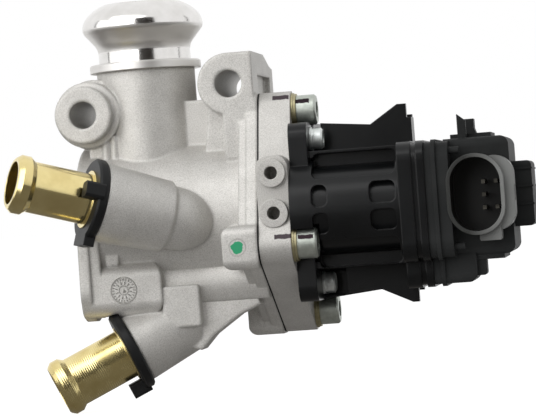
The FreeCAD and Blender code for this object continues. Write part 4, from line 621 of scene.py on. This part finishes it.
def studio_plane(name, width, height, place):
    """A flat piece of the studio, put in its place by a matrix, and the empty node tree of its material."""
    shape = bmesh.new()
    bmesh.ops.create_grid(shape, x_segments=1, y_segments=1, size=0.5)
    bmesh.ops.scale(shape, verts=shape.verts, vec=(width, height, 1))
    bmesh.ops.transform(shape, matrix=place, verts=shape.verts)
    mesh = bpy.data.meshes.new(name)
    shape.to_mesh(mesh)
    shape.free()
    piece = bpy.data.objects.new(name, mesh)
    bpy.context.scene.collection.objects.link(piece)
    mesh.materials.append(bpy.data.materials.new(name))
    return piece, empty_tree(mesh.materials[0])


def facing(centre, way):
    """The matrix that puts a thing at a centre, with its Z along a way."""
    return Matrix.Translation(centre) @ Vector(way).to_track_quat("Z", "Y").to_matrix().to_4x4()


def background_rays(tree):
    """1 for rays that should see a plain white background."""
    rays = add(tree, "LightPath")
    seen = add(tree, "Math", [rays.outputs["Is Camera Ray"], rays.outputs["Is Glossy Ray"]],
               operation="MAXIMUM")
    return add(tree, "Math", [seen, rays.outputs["Is Transmission Ray"]], operation="MAXIMUM")


def make_floor():
    """A wide pale floor just below the valve, white to the camera but with its shadow kept."""
    place = Matrix.Translation((0, 0, cad_low.z - FLOOR_GAP))
    tree = studio_plane("studio_floor", FLOOR_WIDTH, FLOOR_WIDTH, place)[1]
    share = add(tree, "Math", [background_rays(tree), FLOOR_GLOW_SHARE], operation="MULTIPLY")
    matte = add(tree, "BsdfDiffuse", {"Color": linear(FLOOR_GREY)})
    glow = add(tree, "Emission", {"Color": linear(WHITE), "Strength": FLOOR_GLOW})
    surface = add(tree, "MixShader", [share, matte, glow])
    add(tree, "OutputMaterial", {"Surface": surface})


def make_card(name, centre, way, width, height, hex_code):
    """A dark studio card that only reflections see, like the gaps between the soft boxes of a light tent."""
    card, tree = studio_plane(name, width, height, facing(centre, way))
    glow = add(tree, "Emission", {"Color": linear(hex_code), "Strength": 1.0})
    add(tree, "OutputMaterial", {"Surface": glow})
    card.visible_camera = False
    card.visible_diffuse = False
    card.visible_shadow = False
    card.visible_transmission = False


def make_cards():
    """One card above the camera, one just above the floor and a narrow one at each side."""
    level, back = level_axes()
    above = LOOK_AT + back * 0.6 + level * 0.04 + Vector((0, 0, 0.1))
    make_card("camera_gap", above, -back, width=0.42, height=0.9, hex_code=GAP_DARK)
    low = LOOK_AT + back * 0.35 + Vector((0, 0, cad_low.z - LOOK_AT.z - FLOOR_GAP / 2))
    make_card("low_gap", low, (0, 0, 1), width=1.5, height=1.0, hex_code=LOW_GAP_GREY)
    for side, sign in (("left", -1), ("right", 1)):
        way = level * sign * math.cos(SIDE_GAP_TURN) - back * math.sin(SIDE_GAP_TURN)
        beside = LOOK_AT + way * 0.8 + Vector((0, 0, 0.15))
        make_card("side_gap_" + side, beside, -way, width=0.05, height=0.7, hex_code=GAP_DARK)


def make_lamps():
    """Square soft boxes that face the valve."""
    for name, (away, size, power) in LAMPS.items():
        data = bpy.data.lights.new(name, "AREA")
        data.shape = "SQUARE"
        data.size = size
        data.energy = power
        lamp = bpy.data.objects.new(name, data)
        bpy.context.scene.collection.objects.link(lamp)
        lamp.matrix_world = facing(LOOK_AT + Vector(away), away)


def make_world():
    """An even soft light, and plain white to the camera and in reflections."""
    world = bpy.data.worlds.new("studio")
    bpy.context.scene.world = world
    tree = empty_tree(world)
    light = add(tree, "Background", {"Color": linear(WHITE), "Strength": WORLD_LIGHT})
    white = add(tree, "Background", {"Color": linear(WHITE), "Strength": 1.0})
    surface = add(tree, "MixShader", [background_rays(tree), light, white])
    add(tree, "OutputWorld", {"Surface": surface})


make_floor()
make_world()
make_lamps()
make_cards()
bpy.context.scene.view_settings.view_transform = "Standard"
